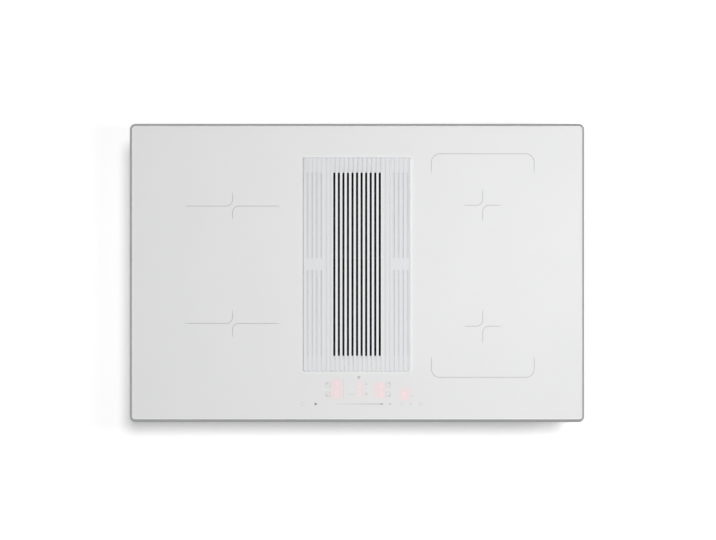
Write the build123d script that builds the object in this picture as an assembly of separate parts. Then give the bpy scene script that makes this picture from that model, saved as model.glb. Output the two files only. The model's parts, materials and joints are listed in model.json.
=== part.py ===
from build123d import *
import os
from math import cos, radians, sqrt

# A downdraft induction cooktop. Millimetres, +X right, +Y towards the back, +Z up.
# z = 0 is the worktop surface that the seal rests on, and the origin is the middle of the seal.

# Glass and rim
hob_width = 780.0
hob_depth = 512.0
glass_thickness = 4.0
rim_width = 4.2
rim_corner_radius = 10.0
rim_stand = 0.4
rim_proud = 0.4
ledge_width = 2.0
ledge_thickness = 1.0
seal_thickness = 2.0
seal_width = 4.0
seal_gap = 0.2

# Worktop cut-out: how far the rim covers the worktop beyond it, and the play round the tray
overlap_side = 15.0
overlap_front = 11.0
cutout_play = 3.0

# Intake grille, and the glass left in front of it for the controls and behind it
grille_width = 184.0
grille_front_border = 87.5
grille_back_border = 57.5
grille_corner_radius = 3.0
grille_chamfer = 0.8
deck_thickness = 3.4
bumper_height = 0.6
bumper_radius = 2.5
rib_height = 9.0
groove_pitch = 7.8
groove_count = 23
groove_width = 3.8
groove_depth = 1.2
deep_groove_depth = 2.2
deep_groove_count = 4
slot_count = 11
slot_end_margin = 26.3
slot_corner_radius = 1.2
mid_bar_length = 20.0
skirt_wall = 4.0

# Collar, well and filter
grille_overhang = 8.0
cutout_corner_radius = 6.0
collar_clearance = 0.3
collar_wall = 2.0
collar_flange = 9.0
collar_flange_thickness = 1.4
collar_lap = 6.0
skirt_clearance = 3.2
well_wall = 2.5
well_flange = 9.0
well_neck = 4.0
filter_drop = 10.0
filter_rest = 1.5
filter_side_clearance = 3.0
filter_depth = 46.0
filter_sheet = 1.2
filter_lip = 6.0
mesh_thickness = 6.0
mesh_hole = 10.0
mesh_hole_pitch = 16.0
handle_width = 18.0
handle_thickness = 3.0
handle_tab = 12.0

# Tray
tray_gap = 1.0
tray_height = 55.0
sheet = 1.2
opening_play = 0.5
standoff_height = 5.0
standoff_radius = 4.0
vent_width = 3.0
vent_height = 24.0
vent_pitch = 8.0
vent_count = 20
bracket_length = 20.0
bracket_reach = 10.0
bracket_drop = 18.0
bracket_thickness = 1.5
bracket_side_y = 150.0
bracket_front_x = 200.0
bracket_back_x = 100.0
screw_radius = 2.0
screw_head_radius = 3.8
screw_head_height = 2.0

# Induction zones
zone_left_x = -213.7
zone_left_back_y = 114.8
zone_left_front_y = -86.5
zone_right_x = 215.6
zone_right_back_y = 116.3
zone_right_front_y = -91.3
coil_gap = 14.0
mica_thickness = 0.8
winding_height = 3.2
winding_width = 3.0
winding_pitch = 4.0
winding_inner_radius = 22.0
former_thickness = 2.5
former_hole_radius = 12.0
former_window_width = 16.0
ferrite_height = 5.0
ferrite_width = 13.0
ferrite_count = 8
ferrite_end_gap = 6.0
carrier_thickness = 1.5
carrier_margin = 3.0
carrier_corner_radius = 6.0
carrier_outer_gap = 12.0
post_inset = 8.0
post_radius = 4.0
sensor_radius = 7.0

# Power electronics
board_thickness = 1.6
power_board_front_y = -150.0
power_board_back_y = 100.0
heat_sink_width = 60.0
heat_sink_length = 150.0
heat_sink_base = 4.0
heat_sink_height = 28.0
fin_thickness = 1.6
fin_pitch = 5.0
capacitor_radius = 9.0
capacitor_height = 28.0
film_capacitor_size = (30.0, 16.0, 24.0)
terminal_size = (70.0, 34.0, 24.0)
terminal_centre_x = -185.0
terminal_wall_gap = 20.0
terminal_way_count = 6
cover_margin = 8.0
cover_lap = 6.0
cover_thickness = 2.0
gland_bore_radius = 6.5
gland_wall = 3.0
gland_length = 34.0
gland_nut_radius = 13.0
gland_nut_thickness = 6.0
gland_centre_below_glass = 38.0

# Cooling fans
fan_size = 80.0
fan_thickness = 25.0
fan_corner_radius = 5.0
fan_side_gap = 28.8
fan_wall_gap = 11.0
fan_bore_radius = 38.0
fan_blade_radius = 36.5
fan_hub_radius = 17.0
fan_axle_radius = 2.0
fan_blade_count = 7
fan_blade_thickness = 1.6
fan_blade_pitch = 35.0
fan_base_thickness = 2.5
fan_hub_gap = 0.3
running_clearance = 0.06

# Touch controls
control_centre_x = 7.0
control_inset = 53.0
control_width = 204.0
control_depth = 56.0
control_margin = 4.0
spring_height = 10.0
spring_radius = 3.5
display_size = (12.0, 9.0, 8.0)
bracket_plate = 2.0
leg_size = 8.0
touch_row_inset = 9.0
touch_count = 12

# Extractor below the tray
extractor_height = 146.0
collector_wall = 2.5
collector_clearance = 0.5
collector_flange = 9.0
drip_height = 38.0
drip_wall = 2.0
drip_side_clearance = 1.0
drip_runner_gap = 0.3
drip_front_thickness = 3.0
drip_front_overlap = 5.0
drip_pull_width = 70.0
drip_pull_reach = 10.0
drip_pull_thickness = 4.0
plenum_height = 36.0
plenum_radius = 86.0

# Scroll, impeller and motor
fan_axis_x = 215.0
scroll_height = 98.5
scroll_wall = 2.5
scroll_start_radius = 88.0
scroll_growth = 12.5
scroll_rim = 6.0
scroll_rim_thickness = 3.0
outlet_start_y = 72.0
foot_radius = 8.0
foot_circle = 78.0
throat_radius = 58.0
throat_wall = 2.0
throat_flange = 16.0
throat_flange_thickness = 2.0
throat_depth = 22.0
throat_hole_clearance = 0.3
impeller_radius = 75.0
impeller_inner_radius = 62.0
impeller_height = 66.0
impeller_gap = 2.0
impeller_plate = 2.0
impeller_blade_count = 32
blade_thickness = 1.2
blade_lean = 28.0
rotor_radius = 40.0
rotor_wall = 3.0
rotor_height = 40.0
hub_wall = 2.5
hub_clearance = 0.3
hub_below_top = 20.5
shaft_radius = 4.0
bearing_radius = 11.0
bearing_height = 7.0
bearing_tube_wall = 3.0
stator_radius = 35.5
stator_height = 22.0
stator_slot_count = 12
motor_flange_radius = 52.0
motor_flange_thickness = 3.0
motor_screw_circle = 44.0

# Rear outlet for a flat duct
spigot_width = 217.0
spigot_height = 84.0
spigot_wall = 2.0
spigot_length = 52.0
spigot_right_x = 365.0
outlet_back_gap = 4.0
flap_side_clearance = 1.0
flap_thickness = 1.6
flap_barrel_radius = 3.4
flap_pin_radius = 2.0
flap_pin_drop = 4.2
flap_hinge_from_start = 8.0
flap_stop = 3.0
flap_stop_gap = 0.3

# Fixing to the worktop
clamp_width = 24.0
clamp_y = 95.0
clamp_reach = 14.0
clamp_thickness = 3.0
clamp_height = 40.0
clamp_above_tray_floor = 5.0
clamp_screw_radius = 2.5
clamp_screw_length = 28.0
flange_screw_radius = 1.5
flange_screw_head_radius = 3.0

# Levels, worked out from the worktop surface
glass_low = seal_thickness
glass_high = glass_low + glass_thickness
rim_high = glass_high + rim_proud
deck_low = glass_high + bumper_height
deck_high = deck_low + deck_thickness
rib_low = deck_high - rib_height
mica_low = glass_low - mica_thickness
winding_low = mica_low - winding_height
former_low = winding_low - former_thickness
ferrite_low = former_low - ferrite_height
carrier_low = ferrite_low - carrier_thickness
tray_high = glass_low - tray_gap
tray_low = tray_high - tray_height
tray_floor = tray_low + sheet
board_low = tray_floor + standoff_height
board_high = board_low + board_thickness
well_high = glass_high - filter_drop
well_low = tray_low - well_neck
base_low = tray_low - extractor_height
plenum_low = tray_low - plenum_height
scroll_high = plenum_low
scroll_low = scroll_high - scroll_height
scroll_middle = scroll_high - scroll_height / 2
throat_low = plenum_low + collector_wall - throat_depth
impeller_high = throat_low - impeller_gap
impeller_low = impeller_high - impeller_height
hub_high = impeller_high - hub_below_top
rotor_high = hub_high - impeller_plate
rotor_low = rotor_high - rotor_height
motor_floor = scroll_low + scroll_wall
control_high = glass_low - spring_height
control_low = control_high - board_thickness

# Plan sizes, worked out from the driving dimensions
glass_width = hob_width - 2 * rim_width
glass_depth = hob_depth - 2 * rim_width
tray_width = hob_width - 2 * (overlap_side + cutout_play)
tray_depth = hob_depth - 2 * (overlap_front + cutout_play)
grille_length = hob_depth - grille_front_border - grille_back_border
grille_centre_y = (grille_front_border - grille_back_border) / 2
cut_width = grille_width - 2 * grille_overhang
cut_length = grille_length - 2 * grille_overhang
collar_width = cut_width - 2 * collar_clearance
collar_length = cut_length - 2 * collar_clearance
collar_inner_width = collar_width - 2 * collar_wall
collar_inner_length = collar_length - 2 * collar_wall
well_width = collar_inner_width - 2 * collar_clearance
well_length = collar_inner_length - 2 * collar_clearance
well_inner_width = well_width - 2 * well_wall
well_inner_length = well_length - 2 * well_wall
collector_inner_width = well_width + 2 * collector_clearance
collector_inner_length = well_length + 2 * collector_clearance
collector_width = collector_inner_width + 2 * collector_wall
collector_length = collector_inner_length + 2 * collector_wall
collector_front_y = grille_centre_y - collector_length / 2
coil_left_radius = (zone_left_back_y - zone_left_front_y - coil_gap) / 2
coil_right_radius = (zone_right_back_y - zone_right_front_y - coil_gap) / 2
control_y = control_inset - hob_depth / 2
fan_centre_x = tray_width / 2 - sheet - fan_side_gap - fan_size / 2
fan_y = tray_depth / 2 - sheet - fan_wall_gap - fan_size / 2
rotor_inner_radius = rotor_radius - rotor_wall
hub_radius = rotor_radius + hub_clearance + hub_wall
scroll_end_radius = scroll_start_radius + 4 * scroll_growth
outlet_end_y = hob_depth / 2 - outlet_back_gap
spigot_start_y = outlet_end_y - spigot_length
spigot_centre_x = spigot_right_x - spigot_width / 2
spigot_inner_width = spigot_width - 2 * spigot_wall
spigot_inner_height = spigot_height - 2 * spigot_wall
flap_pin_z = scroll_middle + spigot_inner_height / 2 - flap_pin_drop
flap_y = spigot_start_y + flap_hinge_from_start
zones = {
    "left_back": (zone_left_x, zone_left_back_y, coil_left_radius),
    "left_front": (zone_left_x, zone_left_front_y, coil_left_radius),
    "right_back": (zone_right_x, zone_right_back_y, coil_right_radius),
    "right_front": (zone_right_x, zone_right_front_y, coil_right_radius),
}


def plate(width, depth, low, high, corner=0.0, x=0.0, y=0.0):
    """A flat block between two levels, its corners rounded where corner is given."""
    outline = RectangleRounded(width, depth, corner) if corner else Rectangle(width, depth)
    return Pos(x, y, low) * extrude(outline, high - low)


def ring(width, depth, wall, low, high, corner=0.0, x=0.0, y=0.0):
    """A rectangular tube, measured over its outside."""
    inner_corner = max(corner - wall, 0.0)
    inside = plate(width - 2 * wall, depth - 2 * wall, low, high, inner_corner, x, y)
    return plate(width, depth, low, high, corner, x, y) - inside


def disc(radius, low, high, x=0.0, y=0.0):
    """A round block between two levels."""
    return Pos(x, y, low) * extrude(Circle(radius), high - low)


def tube(outer, inner, low, high, x=0.0, y=0.0):
    """A round tube between two levels."""
    return Pos(x, y, low) * extrude(Circle(outer) - Circle(inner), high - low)


def group(solids):
    """Separate solids of one kind, kept apart in one node."""
    return Compound(children=list(solids))


def corners(x, y):
    """The four points of a rectangle of half sizes x and y."""
    return [(x * sx, y * sy) for sx in (-1, 1) for sy in (-1, 1)]


# Top: glass, rim, seal, grille


def glass_top():
    corner = rim_corner_radius - rim_width
    glass = plate(glass_width, glass_depth, glass_low, glass_high, corner)
    return glass - plate(
        cut_width, cut_length, glass_low, glass_high, cutout_corner_radius, 0, grille_centre_y
    )


def trim_frame():
    band = ring(hob_width, hob_depth, rim_width, rim_stand, rim_high, rim_corner_radius)
    ledge_low = glass_low - ledge_thickness
    corner = rim_corner_radius - rim_width
    ledge = ring(glass_width, glass_depth, ledge_width, ledge_low, glass_low, corner)
    return band + ledge


def worktop_seal():
    inset = rim_width + ledge_width + seal_gap
    width = hob_width - 2 * inset
    depth = hob_depth - 2 * inset
    return ring(width, depth, seal_width, 0, seal_thickness, rim_corner_radius / 2)


def groove_xs(count):
    """Places across the grille of the middle grooves."""
    return [(i - (count - 1) / 2) * groove_pitch for i in range(count)]


def intake_grille():
    y = grille_centre_y
    deck = plate(grille_width, grille_length, deck_low, deck_high, grille_corner_radius, 0, y)
    deck = chamfer(deck.faces().sort_by(Axis.Z)[-1].edges(), grille_chamfer)
    skirt_width = collar_inner_width - 2 * skirt_clearance
    skirt_length = collar_inner_length - 2 * skirt_clearance
    slot_length = grille_length - 2 * slot_end_margin
    body = deck + plate(skirt_width, skirt_length, rib_low, deck_low, 0, 0, y)
    slotted_width = slot_count * groove_pitch
    pocket_width = (skirt_width - slotted_width) / 2 - skirt_wall
    pocket_x = slotted_width / 2 + pocket_width / 2
    tools = []
    for x in (-pocket_x, pocket_x):
        tools.append(plate(pocket_width, slot_length, rib_low, deck_low, 0, x, y))
    middle_xs = groove_xs(groove_count)[deep_groove_count:-deep_groove_count]
    for x in middle_xs:
        tools.append(plate(groove_width, grille_length, deck_high - groove_depth, deck_high, 0, x, y))
    for x in groove_xs(slot_count):
        tools.append(plate(groove_width, slot_length, rib_low, deck_high, slot_corner_radius, x, y))
    return body - tools - outer_grooves(slot_length)


def outer_grooves(slot_length):
    """The outer grooves stop at a bar in the middle, and are deeper beside the slots."""
    shallow_length = (grille_length - mid_bar_length) / 2
    deep_length = (slot_length - mid_bar_length) / 2
    deep_low = deck_high - deep_groove_depth
    outer_xs = groove_xs(groove_count)[:deep_groove_count]
    tools = []
    for x in outer_xs + [-x for x in outer_xs]:
        for side in (-1, 1):
            y = grille_centre_y + side * (mid_bar_length + shallow_length) / 2
            deep_y = grille_centre_y + side * (mid_bar_length + deep_length) / 2
            tools.append(plate(groove_width, shallow_length, deck_high - groove_depth, deck_high, 0, x, y))
            tools.append(plate(groove_width, deep_length, deep_low, deck_high, 0, x, deep_y))
    return tools


def grille_bumpers():
    x = grille_width / 2 - grille_overhang / 2
    y = grille_length / 2 - grille_overhang / 2
    points = corners(x, y) + [(-x, 0), (x, 0)]
    return group(disc(bumper_radius, glass_high, deck_low, px, py + grille_centre_y) for px, py in points)


# Intake: collar, well and grease filter


def intake_collar():
    y = grille_centre_y
    low = well_high - collar_lap
    high = glass_high - collar_clearance
    walls = ring(collar_width, collar_length, collar_wall, low, high, cutout_corner_radius, 0, y)
    flange_low = glass_low - collar_flange_thickness
    flange_width = collar_width + 2 * collar_flange
    flange_length = collar_length + 2 * collar_flange
    flange_wall = collar_flange + collar_wall / 2
    flange = ring(flange_width, flange_length, flange_wall, flange_low, glass_low, 0, 0, y)
    return walls + flange


def intake_well():
    y = grille_centre_y
    walls = ring(well_width, well_length, well_wall, well_low, well_high, cutout_corner_radius, 0, y)
    flange_width = well_width + 2 * well_flange
    flange_length = well_length + 2 * well_flange
    wall = well_flange + well_wall / 2
    flange = ring(flange_width, flange_length, wall, tray_floor, tray_floor + well_wall, 0, 0, y)
    return walls + flange


def filter_body_size():
    return (well_inner_width - 2 * filter_side_clearance, well_inner_length - 2 * filter_side_clearance)


def filter_frame():
    y = grille_centre_y
    width, length = filter_body_size()
    high = well_high + filter_sheet
    low = high - filter_depth
    rest_width = well_inner_width + 2 * filter_rest
    rest_length = well_inner_length + 2 * filter_rest
    rest_wall = (rest_width - width) / 2 + filter_sheet
    frame = ring(rest_width, rest_length, rest_wall, well_high, high, cutout_corner_radius, 0, y)
    frame += ring(width, length, filter_sheet, low, high, 0, 0, y)
    frame += ring(width, length, filter_lip, low, low + filter_sheet, 0, 0, y)
    return frame


def filter_mesh():
    width, length = filter_body_size()
    low = well_high + filter_sheet - filter_depth + filter_sheet
    width -= 2 * (filter_sheet + collar_clearance)
    length -= 2 * (filter_sheet + collar_clearance)
    columns = int((width - 2 * filter_lip) / mesh_hole_pitch)
    rows = int((length - 2 * filter_lip) / mesh_hole_pitch)
    holes = GridLocations(mesh_hole_pitch, mesh_hole_pitch, columns, rows) * Rectangle(mesh_hole, mesh_hole)
    return Pos(0, grille_centre_y, low) * extrude(Rectangle(width, length) - holes, mesh_thickness)


def filter_handle():
    width = filter_body_size()[0] - 2 * filter_sheet
    high = well_high - handle_thickness
    strap = plate(width, handle_width, high - handle_thickness, high, 0, 0, grille_centre_y)
    tab_x = (width - handle_thickness) / 2
    for x in (-tab_x, tab_x):
        strap += plate(handle_thickness, handle_width, high - handle_tab, high, 0, x, grille_centre_y)
    return strap


# Tray


def vent_cuts():
    """Upright slots through both halves of the front wall."""
    z = (tray_high + tray_low) / 2
    run = vent_count * vent_pitch
    cuts = []
    for x in (-tray_width / 2 + run, tray_width / 2 - run):
        for place in GridLocations(vent_pitch, 1, vent_count, 1):
            slot = Box(vent_width, 4 * sheet, vent_height)
            cuts.append(Pos(x, -tray_depth / 2, z) * place * slot)
    return cuts


def fan_grille_cuts(x, y):
    """Parallel slots within a circle, in the tray floor under a cooling fan."""
    cuts = []
    rows = int(fan_blade_radius / vent_pitch)
    for row in range(-rows, rows + 1):
        half = sqrt(fan_blade_radius**2 - (row * vent_pitch) ** 2)
        if half > vent_width:
            cuts.append(plate(2 * half, vent_width, tray_low, tray_floor, 0, x, y + row * vent_pitch))
    return cuts


def terminal_y():
    return tray_depth / 2 - sheet - terminal_wall_gap - terminal_size[1] / 2


def gland_z():
    return glass_low - gland_centre_below_glass


def bracket_places():
    """Middle of each bracket's wall face, and its turn about Z so that it points inwards."""
    x = tray_width / 2 - sheet
    y = tray_depth / 2 - sheet
    places = [(sx * x, sy * bracket_side_y, 90 + 90 * sx) for sx in (-1, 1) for sy in (-1, 1)]
    for sx in (-1, 1):
        places += [(sx * bracket_front_x, -y, 90), (sx * bracket_back_x, y, -90)]
    return [Pos(px, py, 0) * Rot(0, 0, turn) for px, py, turn in places]


def bracket_screw_z():
    return glass_low - bracket_drop * 2 / 3


def wall_screw(radius, low, high):
    """A round bar along X from low to high, at the height of the bracket screws."""
    return Pos(low, 0, bracket_screw_z()) * Rot(0, 90, 0) * extrude(Circle(radius), high - low)


def board_area(side):
    """Middle x, width, middle y and depth of a power board, side -1 left and 1 right."""
    zone_x, radius = (zone_left_x, coil_left_radius) if side < 0 else (zone_right_x, coil_right_radius)
    inner = abs(zone_x) - radius - carrier_margin + 2 * post_inset
    outer = tray_width / 2 - sheet - carrier_outer_gap - 2 * post_inset
    middle_y = (power_board_front_y + power_board_back_y) / 2
    depth = power_board_back_y - power_board_front_y
    return side * (inner + outer) / 2, outer - inner, middle_y, depth


def base_tray():
    """The tray's floor, with its openings and the stand-offs for the power boards."""
    inner_width = tray_width - 2 * sheet
    inner_depth = tray_depth - 2 * sheet
    hole_width = well_width + 2 * opening_play
    hole_length = well_length + 2 * opening_play
    cuts = [plate(hole_width, hole_length, tray_low, tray_floor, cutout_corner_radius, 0, grille_centre_y)]
    for side in (-1, 1):
        cuts += fan_grille_cuts(side * fan_centre_x, fan_y)
    opening = (terminal_size[0] + cover_margin, terminal_size[1] + cover_margin)
    cuts.append(plate(*opening, tray_low, tray_floor, 0, terminal_centre_x, terminal_y()))
    tray = plate(inner_width, inner_depth, tray_low, tray_floor) - cuts
    for side in (-1, 1):
        x, width, y, depth = board_area(side)
        for px, py in corners(width / 2 - standoff_radius, depth / 2 - standoff_radius):
            tray += disc(standoff_radius, tray_floor, board_low, x + px, y + py)
    return tray


def tray_walls():
    """The folded sides: front and back run the full width, and the ends fit between them."""
    front_y = (tray_depth - sheet) / 2
    end_x = (tray_width - sheet) / 2
    cuts = vent_cuts()
    gland_hole = Rot(-90, 0, 0) * extrude(Circle(gland_bore_radius + gland_wall), 4 * sheet)
    cuts.append(Pos(terminal_centre_x, tray_depth / 2 - 3 * sheet, gland_z()) * gland_hole)
    cuts += [place * wall_screw(screw_radius, -2 * sheet, sheet) for place in bracket_places()]
    walls = [plate(tray_width, sheet, tray_low, tray_high, 0, 0, y) for y in (-front_y, front_y)]
    walls += [plate(sheet, tray_depth - 2 * sheet, tray_low, tray_high, 0, x) for x in (-end_x, end_x)]
    return group(wall - cuts for wall in walls)


def glass_brackets():
    leg_low = glass_low - bracket_drop
    top_leg = Pos(bracket_reach / 2, 0, glass_low - bracket_thickness / 2) * Box(
        bracket_reach, bracket_length, bracket_thickness
    )
    wall_leg = Pos(bracket_thickness / 2, 0, (leg_low + glass_low) / 2) * Box(
        bracket_thickness, bracket_length, bracket_drop
    )
    bracket = top_leg + wall_leg - wall_screw(screw_radius, 0, bracket_thickness)
    return group(place * bracket for place in bracket_places())


def tray_screws():
    shank = wall_screw(screw_radius, -sheet, bracket_thickness)
    head = wall_screw(screw_head_radius, -sheet - screw_head_height, -sheet)
    return group(place * (shank + head) for place in bracket_places())


# Induction zones


def spiral(start_radius, half_turns):
    """Half circles joined tangentially, each wider than the last by half the winding pitch."""
    arcs = [JernArc((start_radius, 0), (0, 1), start_radius, 180)]
    for turn in range(1, half_turns):
        last = arcs[-1]
        arcs.append(JernArc(last @ 1, last % 1, start_radius + turn * winding_pitch / 2, 180))
    return arcs


def coil_winding(x, y, radius):
    half_turns = int(2 * (radius - winding_inner_radius - winding_width) / winding_pitch)
    inside = spiral(winding_inner_radius, half_turns)
    outside = spiral(winding_inner_radius + winding_width, half_turns)
    ends = [Line(inside[0] @ 0, outside[0] @ 0), Line(inside[-1] @ 1, outside[-1] @ 1)]
    return Pos(x, y, winding_low) * extrude(make_face(inside + outside + ends), winding_height)


def coil_former(x, y, radius):
    body = disc(radius, former_low, winding_low) - disc(former_hole_radius, former_low, winding_low)
    reach = radius - ferrite_end_gap - winding_inner_radius
    for place in PolarLocations(winding_inner_radius + reach / 2, ferrite_count, 180 / ferrite_count):
        middle = (former_low + winding_low) / 2
        body -= place * Pos(0, 0, middle) * Box(reach, former_window_width, former_thickness)
    return Pos(x, y, 0) * body


def ferrite_bars():
    bars = []
    for x, y, radius in zones.values():
        reach = radius - ferrite_end_gap - winding_inner_radius
        bar = Pos(0, 0, (ferrite_low + former_low) / 2) * Box(reach, ferrite_width, ferrite_height)
        for place in PolarLocations(winding_inner_radius + reach / 2, ferrite_count):
            bars.append(Pos(x, y, 0) * place * bar)
    return group(bars)


def carrier_area(side):
    """Middle x, width, middle y and depth of the sheet that carries one pair of zones."""
    pair = [zone for zone in zones.values() if zone[0] * side > 0]
    inner = abs(pair[0][0]) - pair[0][2] - carrier_margin
    outer = tray_width / 2 - sheet - carrier_outer_gap
    back = max(y + radius for x, y, radius in pair) + carrier_margin
    front = min(y - radius for x, y, radius in pair) - carrier_margin
    return side * (inner + outer) / 2, outer - inner, (front + back) / 2, back - front


def coil_carrier(side):
    x, width, y, depth = carrier_area(side)
    return plate(width, depth, carrier_low, ferrite_low, carrier_corner_radius, x, y)


def mica_sheets():
    sheets = []
    for side in (-1, 1):
        x, width, y, depth = carrier_area(side)
        sheets.append(plate(width, depth, mica_low, glass_low, carrier_corner_radius, x, y))
    return group(sheets)


def carrier_posts():
    posts = []
    for side in (-1, 1):
        x, width, y, depth = carrier_area(side)
        for px, py in corners(width / 2 - post_inset, depth / 2 - post_inset):
            posts.append(disc(post_radius, tray_floor, carrier_low, x + px, y + py))
    return group(posts)


def temperature_sensors():
    return group(disc(sensor_radius, ferrite_low, mica_low, x, y) for x, y, radius in zones.values())


# Electrics


def power_board(side):
    x, width, y, depth = board_area(side)
    board = plate(width, depth, board_low, board_high, 0, x, y)
    capacitor_x = x - side * width / 3
    for row in range(3):
        place_y = y - depth / 3 + row * 4 * capacitor_radius
        top = board_high + capacitor_height
        board += disc(capacitor_radius, board_high, top, capacitor_x, place_y)
    for row in range(4):
        film_width, film_depth, film_height = film_capacitor_size
        film_y = y - depth / 3 + row * 3 * film_depth
        film_x = x + side * width / 3
        board += plate(film_width, film_depth, board_high, board_high + film_height, 0, film_x, film_y)
    return board


def heat_sink(side):
    x, width, y, depth = board_area(side)
    base_high = board_high + heat_sink_base
    fin_high = board_high + heat_sink_height
    sink = plate(heat_sink_width, heat_sink_length, board_high, base_high, 0, x, y)
    fins = int(heat_sink_width / fin_pitch)
    for fin in range(fins):
        fin_x = x + (fin - (fins - 1) / 2) * fin_pitch
        sink += plate(fin_thickness, heat_sink_length, board_high, fin_high, 0, fin_x, y)
    return sink


def terminal_block():
    width, depth, height = terminal_size
    block = plate(width, depth, tray_low, tray_low + height, 0, terminal_centre_x, terminal_y())
    pitch = width / terminal_way_count
    pockets = Sketch() + GridLocations(pitch, depth / 2, terminal_way_count, 2) * Circle(pitch / 4)
    return block - Pos(terminal_centre_x, terminal_y(), tray_low + height / 2) * extrude(pockets, height)


def terminal_cover():
    width = terminal_size[0] + cover_margin + 2 * cover_lap
    depth = terminal_size[1] + cover_margin + 2 * cover_lap
    return plate(width, depth, tray_low - cover_thickness, tray_low, 0, terminal_centre_x, terminal_y())


def cable_gland():
    inner_end = tray_depth / 2 - sheet - gland_length / 3
    body = Circle(gland_bore_radius + gland_wall) - Circle(gland_bore_radius)
    gland = Pos(0, inner_end, 0) * Rot(-90, 0, 0) * extrude(body, gland_length * 2 / 3)
    nut = RegularPolygon(gland_nut_radius, 6) - Circle(gland_bore_radius)
    for face_y in (tray_depth / 2 - sheet - gland_nut_thickness, tray_depth / 2):
        gland += Pos(0, face_y, 0) * Rot(-90, 0, 0) * extrude(nut, gland_nut_thickness)
    return Pos(terminal_centre_x, 0, gland_z()) * gland


def control_board():
    return plate(control_width, control_depth, control_low, control_high, 0, control_centre_x, control_y)


def control_bracket():
    width = control_width + 2 * control_margin
    depth = control_depth + 2 * control_margin
    low = control_low - bracket_plate
    bracket = plate(width, depth, low, control_low, 0, control_centre_x, control_y)
    for px, py in corners((width - leg_size) / 2, (depth - leg_size) / 2):
        leg_x = control_centre_x + px
        bracket += plate(leg_size, leg_size, tray_floor, low, 0, leg_x, control_y + py)
    return bracket


def touch_springs():
    pitch = (control_width - 2 * touch_row_inset) / (touch_count - 1)
    row_y = control_y - control_depth / 2 + touch_row_inset
    row = []
    for key in range(touch_count):
        key_x = control_centre_x - control_width / 2 + touch_row_inset + key * pitch
        row.append(disc(spring_radius, control_high, glass_low, key_x, row_y))
    return group(row)


def digit_displays():
    width, depth, height = display_size
    pitch = control_width / 6
    blocks = []
    for column in range(-2, 3):
        x = control_centre_x + column * pitch
        blocks.append(plate(width, depth, control_high, control_high + height, 0, x, control_y))
    return group(blocks)


# Cooling fans


def cooling_fan_frame(side):
    low = tray_floor
    frame = plate(fan_size, fan_size, low, low + fan_thickness, fan_corner_radius)
    frame -= disc(fan_bore_radius, low, low + fan_thickness)
    struts = disc(fan_hub_radius, low, low + fan_base_thickness)
    for turn in (45, -45):
        struts += Pos(0, 0, low + fan_base_thickness / 2) * Rot(0, 0, turn) * Box(
            2 * fan_bore_radius + fan_base_thickness, 2 * fan_base_thickness, fan_base_thickness
        )
    axle_high = low + fan_thickness * 2 / 3
    struts += disc(fan_axle_radius, low, axle_high)
    return Pos(side * fan_centre_x, fan_y, 0) * (frame + struts)


def cooling_fan_rotor(side):
    low = tray_floor + fan_base_thickness + fan_hub_gap
    high = tray_floor + fan_thickness - fan_base_thickness
    middle = (low + high) / 2
    hub = disc(fan_hub_radius, low, high)
    reach = 2 * (fan_blade_radius - fan_hub_radius)
    blade = Pos(fan_hub_radius + reach / 4, 0, middle) * Rot(fan_blade_pitch, 0, 0) * Box(
        reach, fan_blade_thickness, high - low
    )
    for turn in range(fan_blade_count):
        hub += Rot(0, 0, turn * 360 / fan_blade_count) * blade
    hub &= disc(fan_blade_radius, low, high)
    axle_high = tray_floor + fan_thickness * 2 / 3 + fan_hub_gap
    hub -= disc(fan_axle_radius + running_clearance, low, axle_high)
    return Pos(side * fan_centre_x, fan_y, 0) * hub


# Collector, drip tray and plenum


def drip_levels():
    low = base_low + collector_wall + drip_runner_gap
    return low, low + drip_height


def collector_box():
    y = grille_centre_y
    box = ring(collector_width, collector_length, collector_wall, base_low, tray_low, 0, 0, y)
    box += plate(collector_width, collector_length, base_low, base_low + collector_wall, 0, 0, y)
    flange_width = collector_width + 2 * collector_flange
    flange_length = collector_length + 2 * collector_flange
    flange_wall = collector_flange + collector_wall / 2
    flange_low = tray_low - collector_wall
    flange = ring(flange_width, flange_length, flange_wall, flange_low, tray_low, 0, 0, y)
    plenum_face = collector_width / 2
    room = collector_flange + collector_wall
    flange -= plate(room, 2 * (plenum_radius + room), flange_low, tray_low, 0, plenum_face + room / 2, 0)
    box += flange
    window = plate(
        4 * collector_wall,
        2 * (plenum_radius - collector_wall),
        plenum_low + collector_wall,
        tray_low - collector_wall,
        0,
        plenum_face,
        0,
    )
    drawer_high = drip_levels()[1] + collector_wall
    drawer = plate(
        collector_inner_width,
        4 * collector_wall,
        base_low + collector_wall,
        drawer_high,
        0,
        0,
        collector_front_y,
    )
    for screw_x, screw_y in flange_screw_points():
        box -= disc(flange_screw_radius, flange_low, tray_low, screw_x, screw_y)
    return box - window - drawer


def flange_screw_points():
    """Screws down the left flange and the two ends of the collector's flange."""
    left = -(collector_width + collector_flange) / 2
    half = collector_length / 2
    end = half + collector_flange / 2
    points = [(left, grille_centre_y + step * half / 2) for step in (-1.5, -0.5, 0.5, 1.5)]
    points += [(sx * collector_width / 3, grille_centre_y + sy * end) for sx in (-1, 1) for sy in (-1, 1)]
    return points


def housing_screws():
    flange_low = tray_low - collector_wall
    screws = []
    for x, y in flange_screw_points():
        shank = disc(flange_screw_radius, flange_low, tray_low, x, y)
        head_low = flange_low - screw_head_height
        screws.append(shank + disc(flange_screw_head_radius, head_low, flange_low, x, y))
    for place in PolarLocations(motor_screw_circle, 4, 45):
        at = Pos(fan_axis_x, 0, 0) * place
        high = motor_floor + motor_flange_thickness
        shank = disc(screw_radius, scroll_low, high)
        screws.append(at * (shank + disc(screw_head_radius, high, high + screw_head_height)))
    return group(screws)


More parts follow.
